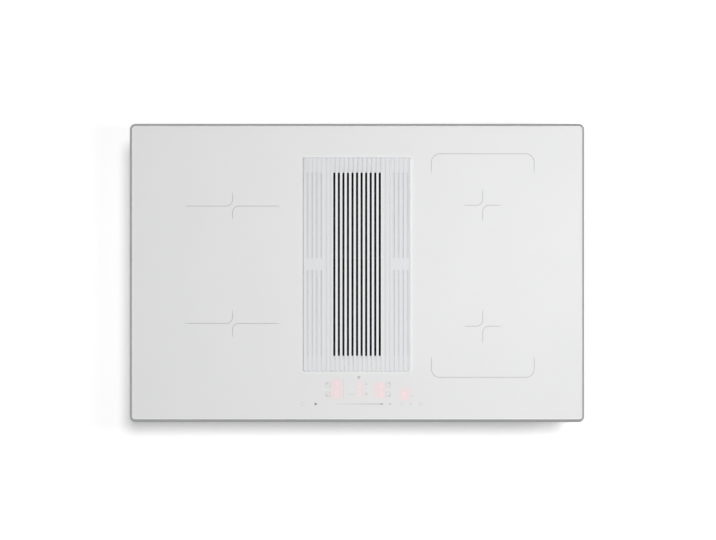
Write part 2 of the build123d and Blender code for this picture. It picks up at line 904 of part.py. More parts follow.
def drip_tray():
    low, high = drip_levels()
    width = collector_inner_width - 2 * drip_side_clearance
    length = collector_inner_length + collector_wall - drip_side_clearance
    middle = collector_front_y + length / 2
    tray = ring(width, length, drip_wall, low, high, 0, 0, middle)
    tray += plate(width, length, low, low + drip_wall, 0, 0, middle)
    front_y = collector_front_y - drip_front_thickness / 2 - drip_runner_gap
    depth = drip_front_thickness
    front = plate(collector_width, depth, low, high + drip_front_overlap, 0, 0, front_y)
    joint_depth = 2 * drip_runner_gap + drip_wall
    joint = plate(width, joint_depth, low, high, 0, 0, collector_front_y)
    pull_high = high + drip_front_overlap
    pull_y = front_y - (depth + drip_pull_reach) / 2
    pull = plate(drip_pull_width, drip_pull_reach, pull_high - drip_pull_thickness, pull_high, 0, 0, pull_y)
    return tray + front + joint + pull


def plenum_outline(inset, start_x):
    radius = plenum_radius - inset
    end_x = fan_axis_x
    body = Pos((start_x + end_x) / 2, 0) * Rectangle(end_x - start_x, 2 * radius)
    return body + Pos(end_x, 0) * Circle(radius)


def plenum_duct():
    start_x = collector_width / 2
    duct = Pos(0, 0, plenum_low) * extrude(plenum_outline(0, start_x), plenum_height)
    hollow_height = plenum_height - 2 * collector_wall
    inside = plenum_outline(collector_wall, start_x - collector_wall)
    duct -= Pos(0, 0, plenum_low + collector_wall) * extrude(inside, hollow_height)
    hole = throat_radius + throat_wall + throat_hole_clearance
    return duct - disc(hole, plenum_low, plenum_low + collector_wall, fan_axis_x, 0)


def inlet_ring():
    seat = plenum_low + collector_wall
    outer = throat_radius + throat_wall
    throat = tube(outer, throat_radius, throat_low, seat + throat_flange_thickness)
    flange = tube(outer + throat_flange, throat_radius, seat, seat + throat_flange_thickness)
    ring_solid = throat + flange
    mouth = ring_solid.edges().filter_by(GeomType.CIRCLE).group_by(Axis.Z)[-1].sort_by(SortBy.RADIUS)[0]
    return Pos(fan_axis_x, 0, 0) * fillet(mouth, throat_flange_thickness * 0.9)


# Scroll housing


def scroll_area(grow):
    """The scroll's plan, its walls moved out by grow, with the straight run to its outlet."""
    start = scroll_start_radius + grow
    arcs = [JernArc((fan_axis_x + start, 0), (0, 1), start, 90)]
    for quarter in range(1, 4):
        last = arcs[-1]
        arcs.append(JernArc(last @ 1, last % 1, start + quarter * scroll_growth, 90))
    arcs.append(Line(arcs[-1] @ 1, arcs[0] @ 0))
    left = scroll_start_radius + scroll_wall - grow
    right = (arcs[3] @ 1).X - fan_axis_x
    middle = fan_axis_x + (left + right) / 2
    run = Pos(middle, outlet_start_y / 2) * Rectangle(right - left, outlet_start_y)
    return make_face(arcs) + run


def scroll_shell(low, high, floor_low, rim_low):
    """A wall round the scroll, closed on one side, with a rim where the two shells meet."""
    outside = scroll_area(scroll_wall)
    inside = scroll_area(0)
    shell = Pos(0, 0, low) * extrude(outside - inside, high - low)
    shell += Pos(0, 0, floor_low) * extrude(outside, scroll_wall)
    rim = scroll_area(scroll_wall + scroll_rim) - inside
    rim -= Pos(fan_axis_x, outlet_start_y + scroll_end_radius) * Rectangle(
        4 * scroll_end_radius, 2 * scroll_end_radius
    )
    shell += Pos(0, 0, rim_low) * extrude(rim, scroll_rim_thickness)
    return shell


def scroll_upper():
    shell = scroll_shell(scroll_middle, scroll_high, scroll_high - scroll_wall, scroll_middle)
    hole = throat_radius + throat_wall + throat_hole_clearance
    return shell - disc(hole, scroll_high - scroll_wall, scroll_high, fan_axis_x, 0)


def scroll_lower():
    shell = scroll_shell(scroll_low, scroll_middle, scroll_low, scroll_middle - scroll_rim_thickness)
    for place in PolarLocations(foot_circle, 4, 45):
        shell += Pos(fan_axis_x, 0, 0) * place * disc(foot_radius, base_low, scroll_low)
    for place in PolarLocations(motor_screw_circle, 4, 45):
        shell -= Pos(fan_axis_x, 0, 0) * place * disc(screw_radius, scroll_low, motor_floor)
    return shell


# Impeller and motor


def impeller():
    plate_high = impeller_low + impeller_plate
    rim = impeller_radius + blade_thickness / 2
    wheel = tube(rim, hub_radius - hub_wall, impeller_low, plate_high)
    wheel += tube(hub_radius, hub_radius - hub_wall, impeller_low, hub_high)
    wheel += disc(hub_radius, hub_high - impeller_plate, hub_high)
    wheel += tube(rim, impeller_inner_radius, impeller_high - impeller_plate, impeller_high)
    middle_radius = (impeller_radius + impeller_inner_radius) / 2
    length = (impeller_radius - impeller_inner_radius) / cos(radians(blade_lean))
    height = impeller_height - impeller_plate
    blade = Pos(0, 0, (impeller_low + impeller_high) / 2) * Rot(0, 0, blade_lean) * Box(
        length, blade_thickness, height
    )
    wheel += [place * blade for place in PolarLocations(middle_radius, impeller_blade_count)]
    return Pos(fan_axis_x, 0, 0) * wheel


def rotor_can():
    can = tube(rotor_radius, rotor_inner_radius, rotor_low, rotor_high)
    can += tube(rotor_radius, shaft_radius, rotor_high - rotor_wall, rotor_high)
    return Pos(fan_axis_x, 0, 0) * can


def motor_tube_low():
    return motor_floor + motor_flange_thickness


def bearing_tube_high():
    return rotor_high - 2 * rotor_wall


def motor_shaft():
    low = motor_tube_low() + impeller_plate
    return disc(shaft_radius, low, rotor_high, fan_axis_x, 0)


def motor_bearings():
    bore = shaft_radius + running_clearance
    lows = (motor_tube_low(), bearing_tube_high() - bearing_height)
    return group(tube(bearing_radius, bore, low, low + bearing_height, fan_axis_x, 0) for low in lows)


def motor_mount():
    flange = disc(motor_flange_radius, motor_floor, motor_tube_low())
    for place in PolarLocations(motor_screw_circle, 4, 45):
        flange -= place * disc(screw_radius, motor_floor, motor_tube_low())
    outer = bearing_radius + bearing_tube_wall
    flange += tube(outer, bearing_radius, motor_tube_low(), bearing_tube_high())
    return Pos(fan_axis_x, 0, 0) * flange


def motor_stator():
    high = bearing_tube_high() - rotor_wall
    low = high - stator_height
    core = tube(stator_radius, bearing_radius + bearing_tube_wall, low, high)
    slot_reach = (stator_radius - bearing_radius) / 2
    for place in PolarLocations(stator_radius - slot_reach / 3, stator_slot_count):
        middle = Pos(0, 0, (low + high) / 2)
        core -= place * middle * Box(slot_reach, bearing_tube_wall, stator_height)
    return Pos(fan_axis_x, 0, 0) * core


# Outlet with its backdraft flap


def upright(width, height, x, y, z):
    """A rectangle that faces the back, to loft or extrude along +Y."""
    return Plane(origin=(x, y, z), x_dir=(1, 0, 0), z_dir=(0, 1, 0)) * Rectangle(width, height)


def duct_shape(inset):
    """The outlet's flare and spigot, drawn in by inset on every side."""
    left = fan_axis_x + scroll_start_radius
    right = fan_axis_x + scroll_end_radius + scroll_wall
    start_width = right - left - 2 * inset
    start_height = scroll_height - 2 * inset
    start = upright(start_width, start_height, (left + right) / 2, outlet_start_y, scroll_middle)
    wall_share = 2 * inset * spigot_wall / scroll_wall
    end_width = spigot_width - wall_share
    end_height = spigot_height - wall_share
    end = upright(end_width, end_height, spigot_centre_x, spigot_start_y, scroll_middle)
    flare = loft([start.face(), end.face()], ruled=True)
    return flare + extrude(end, spigot_length)


def outlet_duct():
    duct = duct_shape(0) - duct_shape(scroll_wall)
    stop_y = flap_y - flap_thickness / 2 - flap_stop_gap - spigot_wall
    stop_high = flap_pin_z - flap_barrel_radius - flap_stop
    low = scroll_middle - spigot_inner_height / 2
    side_x = (spigot_inner_width - flap_stop) / 2
    depth_y = stop_y + spigot_wall / 2
    for x in (-side_x, side_x):
        duct += plate(flap_stop, spigot_wall, low, stop_high, 0, spigot_centre_x + x, depth_y)
    duct += plate(spigot_inner_width, spigot_wall, low, low + flap_stop, 0, spigot_centre_x, depth_y)
    return duct - flap_bar(flap_pin_radius, spigot_width)


def flap_bar(radius, length):
    """A round bar along X on the flap's pivot."""
    bar = Rot(0, 90, 0) * extrude(Circle(radius), length / 2, both=True)
    return Pos(spigot_centre_x, flap_y, flap_pin_z) * bar


def flap_pin():
    return flap_bar(flap_pin_radius, spigot_width)


def backdraft_flap():
    width = spigot_inner_width - 2 * flap_side_clearance
    low = scroll_middle - spigot_inner_height / 2 + flap_side_clearance
    flap = plate(width, flap_thickness, low, flap_pin_z, 0, spigot_centre_x, flap_y)
    flap += flap_bar(flap_barrel_radius, width)
    return flap - flap_bar(flap_pin_radius + running_clearance, width)


# Fixing to the worktop


def clamp_low():
    return tray_low + clamp_above_tray_floor


def worktop_clamps():
    arm_x = tray_width / 2 + clamp_reach / 2
    leg_x = tray_width / 2 + clamp_thickness / 2
    clamps = []
    for sx, sy in corners(1, 1):
        y = sy * clamp_y
        low = clamp_low()
        clamp = plate(clamp_reach, clamp_width, low, low + clamp_thickness, 0, sx * arm_x, y)
        clamp += plate(clamp_thickness, clamp_width, low, low + clamp_height, 0, sx * leg_x, y)
        clamps.append(clamp - clamp_screw_bar(sx, y, clamp_screw_radius, low, low + clamp_thickness))
    return group(clamps)


def clamp_screw_bar(side, y, radius, low, high):
    x = tray_width / 2 + (clamp_reach + clamp_thickness) / 2
    return disc(radius, low, high, side * x, y)


def clamp_screws():
    low = clamp_low() - clamp_thickness
    screws = []
    for sx, sy in corners(1, 1):
        screw = clamp_screw_bar(sx, sy * clamp_y, clamp_screw_radius, low, low + clamp_screw_length)
        pad_low = low + clamp_screw_length
        pad_radius = clamp_screw_radius + sheet
        screw += clamp_screw_bar(sx, sy * clamp_y, pad_radius, pad_low, pad_low + clamp_thickness)
        screws.append(screw)
    return group(screws)


nodes = {
    "glass_top": glass_top(),
    "trim_frame": trim_frame(),
    "worktop_seal": worktop_seal(),
    "intake_grille": intake_grille(),
    "grille_bumpers": grille_bumpers(),
    "intake_collar": intake_collar(),
    "intake_well": intake_well(),
    "filter_frame": filter_frame(),
    "filter_mesh": filter_mesh(),
    "filter_handle": filter_handle(),
    "base_tray": base_tray(),
    "tray_walls": tray_walls(),
    "glass_brackets": glass_brackets(),
    "tray_screws": tray_screws(),
    "coil_carrier_left": coil_carrier(-1),
    "coil_carrier_right": coil_carrier(1),
    "carrier_posts": carrier_posts(),
    "ferrite_bars": ferrite_bars(),
    "mica_sheets": mica_sheets(),
    "temperature_sensors": temperature_sensors(),
    "power_board_left": power_board(-1),
    "power_board_right": power_board(1),
    "heat_sinks": group(heat_sink(side) for side in (-1, 1)),
    "terminal_block": terminal_block(),
    "terminal_cover": terminal_cover(),
    "cable_gland": cable_gland(),
    "control_board": control_board(),
    "control_bracket": control_bracket(),
    "touch_springs": touch_springs(),
    "digit_displays": digit_displays(),
    "cooling_fan_frame_left": cooling_fan_frame(-1),
    "cooling_fan_frame_right": cooling_fan_frame(1),
    "cooling_fan_rotor_left": cooling_fan_rotor(-1),
    "cooling_fan_rotor_right": cooling_fan_rotor(1),
    "collector_box": collector_box(),
    "housing_screws": housing_screws(),
    "drip_tray": drip_tray(),
    "plenum_duct": plenum_duct(),
    "inlet_ring": inlet_ring(),
    "scroll_upper": scroll_upper(),
    "scroll_lower": scroll_lower(),
    "impeller": impeller(),
    "rotor_can": rotor_can(),
    "motor_shaft": motor_shaft(),
    "motor_bearings": motor_bearings(),
    "motor_mount": motor_mount(),
    "motor_stator": motor_stator(),
    "outlet_duct": outlet_duct(),
    "backdraft_flap": backdraft_flap(),
    "flap_pin": flap_pin(),
    "worktop_clamps": worktop_clamps(),
    "clamp_screws": clamp_screws(),
}
for name, place in zones.items():
    nodes["coil_former_" + name] = coil_former(*place)
    nodes["coil_winding_" + name] = coil_winding(*place)

os.makedirs("parts", exist_ok=True)
for name, shape in nodes.items():
    export_step(shape, f"parts/{name}.step")
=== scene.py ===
# %% [markdown]
# # A downdraft induction cooktop
# This lesson dresses a finished CAD frame of a white glass cooktop with an extractor built in.
# The frame gives every size and place. Here the pieces that the eye lands on are modelled by
# hand in Blender, and every surface gets a finish made of nodes.

# %% Load the frame
import json
from math import atan2, cos, pi, radians, sin, sqrt

import bpy
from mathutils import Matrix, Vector


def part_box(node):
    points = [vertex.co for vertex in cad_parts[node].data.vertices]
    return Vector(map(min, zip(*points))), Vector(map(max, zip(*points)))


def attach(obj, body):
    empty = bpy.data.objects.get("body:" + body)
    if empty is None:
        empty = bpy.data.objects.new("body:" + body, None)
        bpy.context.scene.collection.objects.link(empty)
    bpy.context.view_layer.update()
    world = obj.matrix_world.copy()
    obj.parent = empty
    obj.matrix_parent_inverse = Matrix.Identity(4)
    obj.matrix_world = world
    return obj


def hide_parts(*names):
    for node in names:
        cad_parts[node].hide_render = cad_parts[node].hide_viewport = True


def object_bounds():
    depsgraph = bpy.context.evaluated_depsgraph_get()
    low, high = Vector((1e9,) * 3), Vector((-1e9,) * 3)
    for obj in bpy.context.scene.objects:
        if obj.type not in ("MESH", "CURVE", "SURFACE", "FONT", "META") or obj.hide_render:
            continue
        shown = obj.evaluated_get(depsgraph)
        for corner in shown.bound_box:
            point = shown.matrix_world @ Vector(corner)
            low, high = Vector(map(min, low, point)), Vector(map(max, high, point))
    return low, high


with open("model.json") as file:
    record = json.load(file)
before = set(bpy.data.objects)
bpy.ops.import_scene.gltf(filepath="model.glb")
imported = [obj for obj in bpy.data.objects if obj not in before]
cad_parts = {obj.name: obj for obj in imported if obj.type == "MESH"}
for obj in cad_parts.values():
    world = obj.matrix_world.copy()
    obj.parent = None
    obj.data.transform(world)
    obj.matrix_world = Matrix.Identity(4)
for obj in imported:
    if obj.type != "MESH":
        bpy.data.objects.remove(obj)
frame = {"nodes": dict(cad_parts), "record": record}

MM = 0.001
cad_box = [list(corner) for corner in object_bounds()]
nodes = frame["nodes"]

# %% [markdown]
# ## The camera
# The picture looks straight down on the glass, with no sign of perspective. A long lens held
# far above gives nearly parallel lines. A camera added with no turn already looks straight
# down, so only its height has to be worked out: the wanted width on the glass, times the focal
# length, over the sensor's width.

# %% Camera
LENS = 135.0
SENSOR = 36.0
VIEW_WIDTH = 1.2285
VIEW_CENTRE = (0.0016, 0.0051)
GLASS_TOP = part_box("glass_top")[1].z
height = GLASS_TOP + VIEW_WIDTH * LENS / SENSOR
bpy.ops.object.camera_add(location=(*VIEW_CENTRE, height), rotation=(0, 0, 0))
camera = bpy.context.object
camera.name = "overhead_camera"
camera.data.lens = LENS
camera.data.sensor_width = SENSOR
bpy.context.scene.camera = camera
print("camera", round(height, 3), "m above the worktop")

# %% [markdown]
# ## Studio light
# The key is a broad sun that leans a little from the back right, so its soft shadow shows only
# along the left and front edges. A softbox low on the right makes the glass grow lighter
# towards that side. Both are hidden from reflections: the glass would mirror them. Two cards
# in front and behind light the parts below the glass in the other views.

# %% Lights
LEAN_RIGHT = radians(6.4)
LEAN_BACK = radians(7.2)
BELOW_GLASS = (0, 0, -0.05)
bpy.ops.object.light_add(type="SUN", location=(0.3, 0.3, 3), rotation=(-LEAN_BACK, LEAN_RIGHT, 0))
key = bpy.context.object
key.name = "key_sun"
key.data.energy = 1.68
key.data.angle = radians(9.0)
key.visible_glossy = False


def softbox(name, spot, target, watts, width, depth):
    """A rectangular lamp at a spot, turned to face the target."""
    aim = Vector(target) - Vector(spot)
    turn = aim.to_track_quat("-Z", "Y").to_euler()
    bpy.ops.object.light_add(type="AREA", location=spot, rotation=turn)
    lamp = bpy.context.object
    lamp.name = name
    lamp.data.energy = watts
    lamp.data.shape = "RECTANGLE"
    lamp.data.size = width
    lamp.data.size_y = depth
    return lamp


right = softbox("right_softbox", (0.55, 0.05, 1.4), (0.3, 0.05, 0), 9.0, 0.4, 0.9)
right.visible_glossy = False
softbox("front_card", (-0.5, -2.4, 0.40), BELOW_GLASS, 10.0, 1.6, 0.7)
softbox("back_card", (0.6, 2.4, 0.40), BELOW_GLASS, 11.0, 1.6, 0.7)

# %% [markdown]
# ## World and first nodes
# The studio is white to the camera and in reflections, but throws only a little light, so that
# the lamps shape the object. Light Path tells the two kinds of ray apart. Materials and the
# world both keep their nodes in a tree, so the same small helpers serve both.

# %% Node helpers
NOISE_LOW = 0.35
NOISE_HIGH = 0.65


def add_node(owner, kind, **values):
    """A node of a material or the world, with its input values set by name."""
    node = owner.node_tree.nodes.new("ShaderNode" + kind)
    for socket, value in values.items():
        node.inputs[socket.replace("_", " ")].default_value = value
    return node


def link(owner, source, target):
    """Join an output to an input."""
    owner.node_tree.links.new(source, target)


def combine(owner, operation, first, second=None):
    """A math step on one value, on two, or on a value and a plain number."""
    step = add_node(owner, "Math")
    step.operation = operation
    link(owner, first, step.inputs[0])
    if isinstance(second, float):
        step.inputs[1].default_value = second
    elif second:
        link(owner, second, step.inputs[1])
    return step.outputs["Value"]


def spread_values(owner, source, low, high, start=NOISE_LOW, stop=NOISE_HIGH):
    """Spread what lies between start and stop, which fit a noise, over low to high."""
    spread = add_node(owner, "MapRange", From_Min=start, From_Max=stop, To_Min=low, To_Max=high)
    link(owner, source, spread.inputs["Value"])
    return spread.outputs["Result"]


def seen_rays(owner):
    """1 for camera, glossy and transmission rays, and 0 for the light that falls on things."""
    path = add_node(owner, "LightPath")
    total = path.outputs["Is Camera Ray"]
    for other in ("Is Glossy Ray", "Is Transmission Ray"):
        total = combine(owner, "MAXIMUM", total, path.outputs[other])
    return total


print("node helpers ready")

# %% World
AMBIENT = 0.08
world = bpy.data.worlds.new("studio")
bpy.context.scene.world = world
world.use_nodes = True
back = world.node_tree.nodes["Background"]
back.inputs["Color"].default_value = (1.0, 1.0, 1.0, 1.0)
strength = spread_values(world, seen_rays(world), AMBIENT, 1.0, 0.0, 1.0)
link(world, strength, back.inputs["Strength"])
bpy.context.scene.view_settings.view_transform = "Standard"
print("world lights things at", AMBIENT)

# %% [markdown]
# ## Small helpers for the bench
# Operators act on everything that is selected, so each step starts from nothing selected.
# A finished piece has its place in its mesh, and its object at the origin. The helpers take
# millimetres, because a maker thinks in them.

# %% Holding and placing


def clear_bench():
    """Object mode with nothing selected."""
    if bpy.context.mode != "OBJECT":
        bpy.ops.object.mode_set(mode="OBJECT")
    bpy.ops.object.select_all(action="DESELECT")


def hold(piece):
    """Only this piece selected and active."""
    clear_bench()
    piece.select_set(True)
    bpy.context.view_layer.objects.active = piece


def settle(piece, name):
    """Put the piece's place, turn and size into its mesh."""
    hold(piece)
    piece.name = name
    piece.data.name = name
    bpy.ops.object.transform_apply(location=True, rotation=True, scale=True)
    return piece


def move_to(piece, spot, turn=(0, 0, 0)):
    """Turn and move a piece, and put that into its mesh."""
    piece.rotation_euler = turn
    piece.location = [value * MM for value in spot]
    return settle(piece, piece.name)


def copies(piece, spots, turn=(0, 0, 0)):
    """Copies of a piece, each with its own mesh, turned and moved to the spots."""
    made = []
    for spot in spots:
        twin = piece.copy()
        twin.data = piece.data.copy()
        bpy.context.scene.collection.objects.link(twin)
        made.append(move_to(twin, spot, turn))
    return made


def join(name, pieces):
    """Several pieces made one object."""
    hold(pieces[0])
    for piece in pieces[1:]:
        piece.select_set(True)
    bpy.ops.object.join()
    pieces[0].name = name
    pieces[0].data.name = name
    return pieces[0]


def discard(*patterns):
    """Take pattern pieces away once their copies are made."""
    clear_bench()
    for pattern in patterns:
        bpy.data.objects.remove(pattern)


def place(piece, body, material):
    """The piece rides on a body and gets its finish."""
    piece.data.materials.clear()
    piece.data.materials.append(material)
    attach(piece, body)
    return piece


def lay_out(name, pattern, spots, body, material):
    """One piece made of copies of a pattern, which is then taken away."""
    piece = place(join(name, copies(pattern, spots)), body, material)
    discard(pattern)
    return piece


print("bench ready")

# %% Shaping helpers


def in_mm(corners):
    """The corners of a box in millimetres."""
    return [corner / MM for corner in corners]


def pick(piece, kind, test):
    """Edit mode, with only the vertices, edges or faces that pass the test selected.

    The test is given a vertex's place, the two ends of an edge, or a face.
    """
    hold(piece)
    bpy.ops.object.mode_set(mode="EDIT")
    bpy.ops.mesh.select_mode(type=kind)
    bpy.ops.mesh.select_all(action="DESELECT")
    bpy.ops.object.mode_set(mode="OBJECT")
    points = piece.data.vertices
    if kind == "VERT":
        for point in points:
            point.select = test(point.co)
    elif kind == "EDGE":
        for edge in piece.data.edges:
            edge.select = test(*(points[index].co for index in edge.vertices))
    else:
        for face in piece.data.polygons:
            face.select = test(face)
    bpy.ops.object.mode_set(mode="EDIT")


def pick_all(piece, kind="VERT"):
    """Edit mode, with the whole piece selected."""
    hold(piece)
    bpy.ops.object.mode_set(mode="EDIT")
    bpy.ops.mesh.select_mode(type=kind)
    bpy.ops.mesh.select_all(action="SELECT")


def upright(a, b):
    """True for an edge that runs along Z."""
    return abs(a.x - b.x) + abs(a.y - b.y) < 1e-6


def level_at(z):
    """A test for edges that lie at height z."""
    return lambda a, b: max(abs(a.z - z * MM), abs(b.z - z * MM)) < 1e-6


def extrude_by(step):
    """Extrude what is selected along a step."""
    shift = [value * MM for value in step]
    bpy.ops.mesh.extrude_region_move(TRANSFORM_OT_translate={"value": shift})


def sink(piece, test, border, step):
    """Inset the faces that pass the test, and push the middle along a step."""
    pick(piece, "FACE", test)
    bpy.ops.mesh.inset(thickness=border * MM, depth=0)
    extrude_by(step)
    bpy.ops.object.mode_set(mode="OBJECT")


def bevel_edges(piece, test, width, segments):
    """Round the edges that pass the test."""
    pick(piece, "EDGE", test)
    bpy.ops.mesh.bevel(offset=width * MM, segments=segments, affect="EDGES", clamp_overlap=True)
    bpy.ops.object.mode_set(mode="OBJECT")


def finish_off(piece, modifier, **settings):
    """Add a modifier and apply it."""
    hold(piece)
    added = piece.modifiers.new(modifier.lower(), modifier)
    for setting, value in settings.items():
        setattr(added, setting, value)
    bpy.ops.object.modifier_apply(modifier=added.name)
    return piece


def smooth(piece, angle=35):
    """Smooth shading that keeps corners sharper than the angle."""
    hold(piece)
    bpy.ops.object.shade_smooth_by_angle(angle=radians(angle))
    return piece


def soften(piece, width):
    """A narrow bevel on every corner, and smooth shading."""
    finish_off(piece, "BEVEL", width=width * MM, segments=2, limit_method="ANGLE")
    return smooth(piece)


def block(name, low, high):
    """A cube primitive between two corners."""
    clear_bench()
    middle = [(a + b) / 2 * MM for a, b in zip(low, high)]
    bpy.ops.mesh.primitive_cube_add(size=1, location=middle)
    bpy.context.object.scale = [(b - a) * MM for a, b in zip(low, high)]
    return settle(bpy.context.object, name)


def rod(name, radius, low, high, sides):
    """An upright cylinder primitive on the Z axis, between two heights."""
    clear_bench()
    bpy.ops.mesh.primitive_cylinder_add(
        vertices=sides,
        radius=radius * MM,
        depth=(high - low) * MM,
        location=(0, 0, (low + high) / 2 * MM),
    )
    return settle(bpy.context.object, name)


print("shaping helpers ready")

# %% [markdown]
# ## Finishes
# Each finish starts from the Principled shader. A noise drives a small change of colour, a
# second one the gloss, and a third a fine bump, all on Object coordinates in metres, so a
# scale of 1000 gives grains of about a millimetre.

# %% Finish helpers
EVEN = (1.0, 1.0, 1.0)


def shader_of(material):
    """The shader that every finish starts from."""
    return material.node_tree.nodes["Principled BSDF"]


def feed(material, source, socket):
    """Join an output to one of the shader's inputs."""
    link(material, source, shader_of(material).inputs[socket])


def surface_points(material, stretch=EVEN):
    """Object coordinates, squeezed or stretched along each axis."""
    points = add_node(material, "TexCoord")
    mapping = add_node(material, "Mapping", Scale=stretch)
    link(material, points.outputs["Object"], mapping.inputs["Vector"])
    return mapping.outputs["Vector"]


def axes(material):
    """The same coordinates as three values, X, Y and Z."""
    split = add_node(material, "SeparateXYZ")
    link(material, surface_points(material), split.inputs["Vector"])
    return split.outputs


def noise(material, scale, detail, stretch):
    """A noise that mostly lies between NOISE_LOW and NOISE_HIGH."""
    texture = add_node(material, "TexNoise", Scale=scale, Detail=detail)
    link(material, surface_points(material, stretch), texture.inputs["Vector"])
    return texture.outputs["Fac"]


def mix_colours(material, factor, low, high):
    """Colour between low and high, which are colours or sockets."""
    mix = material.node_tree.nodes.new("ShaderNodeMix")
    mix.data_type = "RGBA"
    link(material, factor, mix.inputs["Factor"])
    for name, value in (("A", low), ("B", high)):
        socket = [i for i in mix.inputs if i.name == name and i.type == "RGBA"][0]
        if isinstance(value, bpy.types.NodeSocket):
            link(material, value, socket)
        else:
            socket.default_value = (*value, 1.0)
    return [o for o in mix.outputs if o.type == "RGBA"][0]


def between(material, value, low, high, fade):
    """1 where the value lies between low and high, in millimetres, and 0 a short way outside."""
    rise = spread_values(material, value, 0.0, 1.0, (low - fade) * MM, low * MM)
    fall = spread_values(material, value, 1.0, 0.0, high * MM, (high + fade) * MM)
    return combine(material, "MULTIPLY", rise, fall)


def paint_over(material, factor, tone):
    """A tone laid over the base colour where the factor is 1."""
    under = shader_of(material).inputs["Base Color"].links[0].from_socket
    feed(material, mix_colours(material, factor, under, tone), "Base Color")


def paint_band(material, value, low, high, fade, tone):
    """A tone laid over the base colour where a value lies between low and high."""
    paint_over(material, between(material, value, low, high, fade), tone)


def new_finish(name, colour, rough, metal=0.0, coat=0.0):
    """A material with its plain numbers set on the shader's own sockets."""
    material = bpy.data.materials.new(name)
    material.use_nodes = True
    shader = shader_of(material)
    shader.inputs["Base Color"].default_value = (*colour, 1.0)
    shader.inputs["Roughness"].default_value = rough
    shader.inputs["Metallic"].default_value = metal
    shader.inputs["Coat Weight"].default_value = coat
    return material


def mottled(name, scale, low, high, rough, metal=0.0, coat=0.0, stretch=EVEN, detail=3.0):
    """A material whose base colour drifts between two colours."""
    material = new_finish(name, high, rough, metal, coat)
    factor = spread_values(material, noise(material, scale, detail, stretch), 0.0, 1.0)
    feed(material, mix_colours(material, factor, low, high), "Base Color")
    return material


def vary_gloss(material, scale, low, high):
    """Roughness that drifts between two values."""
    gloss = spread_values(material, noise(material, scale, 4.0, EVEN), low, high)
    feed(material, gloss, "Roughness")


def grain(material, scale, strength, distance, stretch=EVEN):
    """A fine bump, added on top of what bump there is."""
    bump = add_node(material, "Bump", Strength=strength, Distance=distance)
    link(material, noise(material, scale, 2.0, stretch), bump.inputs["Height"])
    normal = shader_of(material).inputs["Normal"]
    if normal.links:
        link(material, normal.links[0].from_socket, bump.inputs["Normal"])
    link(material, bump.outputs["Normal"], normal)


def edge_wear_and_highlight(material, tone, amount):
    """A lighter or darker tone where an edge stands proud: wear on most parts, a painted highlight
    on the grille.
    """
    geometry = add_node(material, "NewGeometry")
    factor = spread_values(material, geometry.outputs["Pointiness"], 0.0, amount, 0.51, 0.56)
    paint_over(material, factor, tone)


print("finish helpers ready")

# %% [markdown]
# ## Plastics and rubber
# Housings are moulded in glass-filled plastic: a fine spark-eroded grain, faint flow marks and
# a dull sheen. The black parts are the same with a finer grain. Rubber and foam are duller.

# %% Plastics


def moulded(name, low, high, rough, grain_scale=1400.0, strength=0.25):
    """Moulded plastic with flow marks and spark-eroded grain."""
    material = mottled(name, 14.0, low, high, rough, stretch=(1.0, 2.2, 1.0))
    vary_gloss(material, 60.0, rough - 0.06, rough + 0.08)
    grain(material, grain_scale, strength, 0.0002)
    return material


grey_plastic = moulded("moulded_grey", (0.105, 0.11, 0.115), (0.135, 0.14, 0.148), 0.5)
edge_wear_and_highlight(grey_plastic, (0.24, 0.245, 0.25), 0.45)
black_plastic = moulded("moulded_black", (0.020, 0.020, 0.022), (0.030, 0.030, 0.033), 0.45, 1800.0)
cream_plastic = moulded("moulded_cream", (0.62, 0.59, 0.52), (0.70, 0.67, 0.60), 0.42, 1600.0, 0.15)
wheel_plastic = moulded(
    "wheel_plastic", (0.045, 0.048, 0.052), (0.07, 0.074, 0.08), 0.38, 900.0, 0.3
)
grain(wheel_plastic, 500.0, 0.2, 0.0003, (1.0, 1.0, 0.15))
rubber = moulded("rubber", (0.022, 0.022, 0.022), (0.035, 0.034, 0.033), 0.72, 700.0, 0.4)
foam = moulded("foam_strip", (0.05, 0.05, 0.05), (0.09, 0.09, 0.09), 0.88, 420.0, 0.9)
silicone = moulded("silicone_cap", (0.55, 0.54, 0.52), (0.66, 0.65, 0.63), 0.55, 900.0, 0.2)
display_plastic = moulded(
    "display_red", (0.045, 0.004, 0.004), (0.07, 0.008, 0.008), 0.12, 500.0, 0.05
)
print("plastics:", grey_plastic.name, black_plastic.name, cream_plastic.name)

# %% [markdown]
# ## Metals
# The tray is galvanised sheet, whose zinc grows in flat crystals: a Voronoi texture gives each
# crystal its own tone and gloss. The rim is satin aluminium; its front and right rails catch the
# light differently, so each is a band of its own tone. The filter is steel with a dark coat,
# rubbed lighter along its edges, so that the slots above it look black.

# %% Zinc crystals


def zinc_crystals(material, scale, low, high):
    """Flat crystals, each with its own tone and gloss."""
    cells = add_node(material, "TexVoronoi", Scale=scale, Randomness=1.0)
    wander = add_node(material, "VectorMath")
    wander.operation = "MULTIPLY_ADD"
    cloud = add_node(material, "TexNoise", Scale=scale * 2.5, Detail=2.0)
    points = surface_points(material)
    link(material, points, cloud.inputs["Vector"])
    link(material, cloud.outputs["Color"], wander.inputs[0])
    wander.inputs[1].default_value = (0.6 / scale, 0.6 / scale, 0.6 / scale)
    link(material, points, wander.inputs[2])
    link(material, wander.outputs["Vector"], cells.inputs["Vector"])
    tone = add_node(material, "SeparateColor")
    link(material, cells.outputs["Color"], tone.inputs["Color"])
    feed(material, mix_colours(material, tone.outputs["Red"], low, high), "Base Color")
    gloss = spread_values(material, tone.outputs["Green"], 0.34, 0.46, 0.0, 1.0)
    feed(material, gloss, "Roughness")


zinc_steel = new_finish("zinc_steel", (0.5, 0.51, 0.52), 0.38, metal=1.0)
zinc_crystals(zinc_steel, 110.0, (0.455, 0.465, 0.48), (0.535, 0.545, 0.555))
grain(zinc_steel, 350.0, 0.06, 0.0002)
print("sheet:", zinc_steel.name)

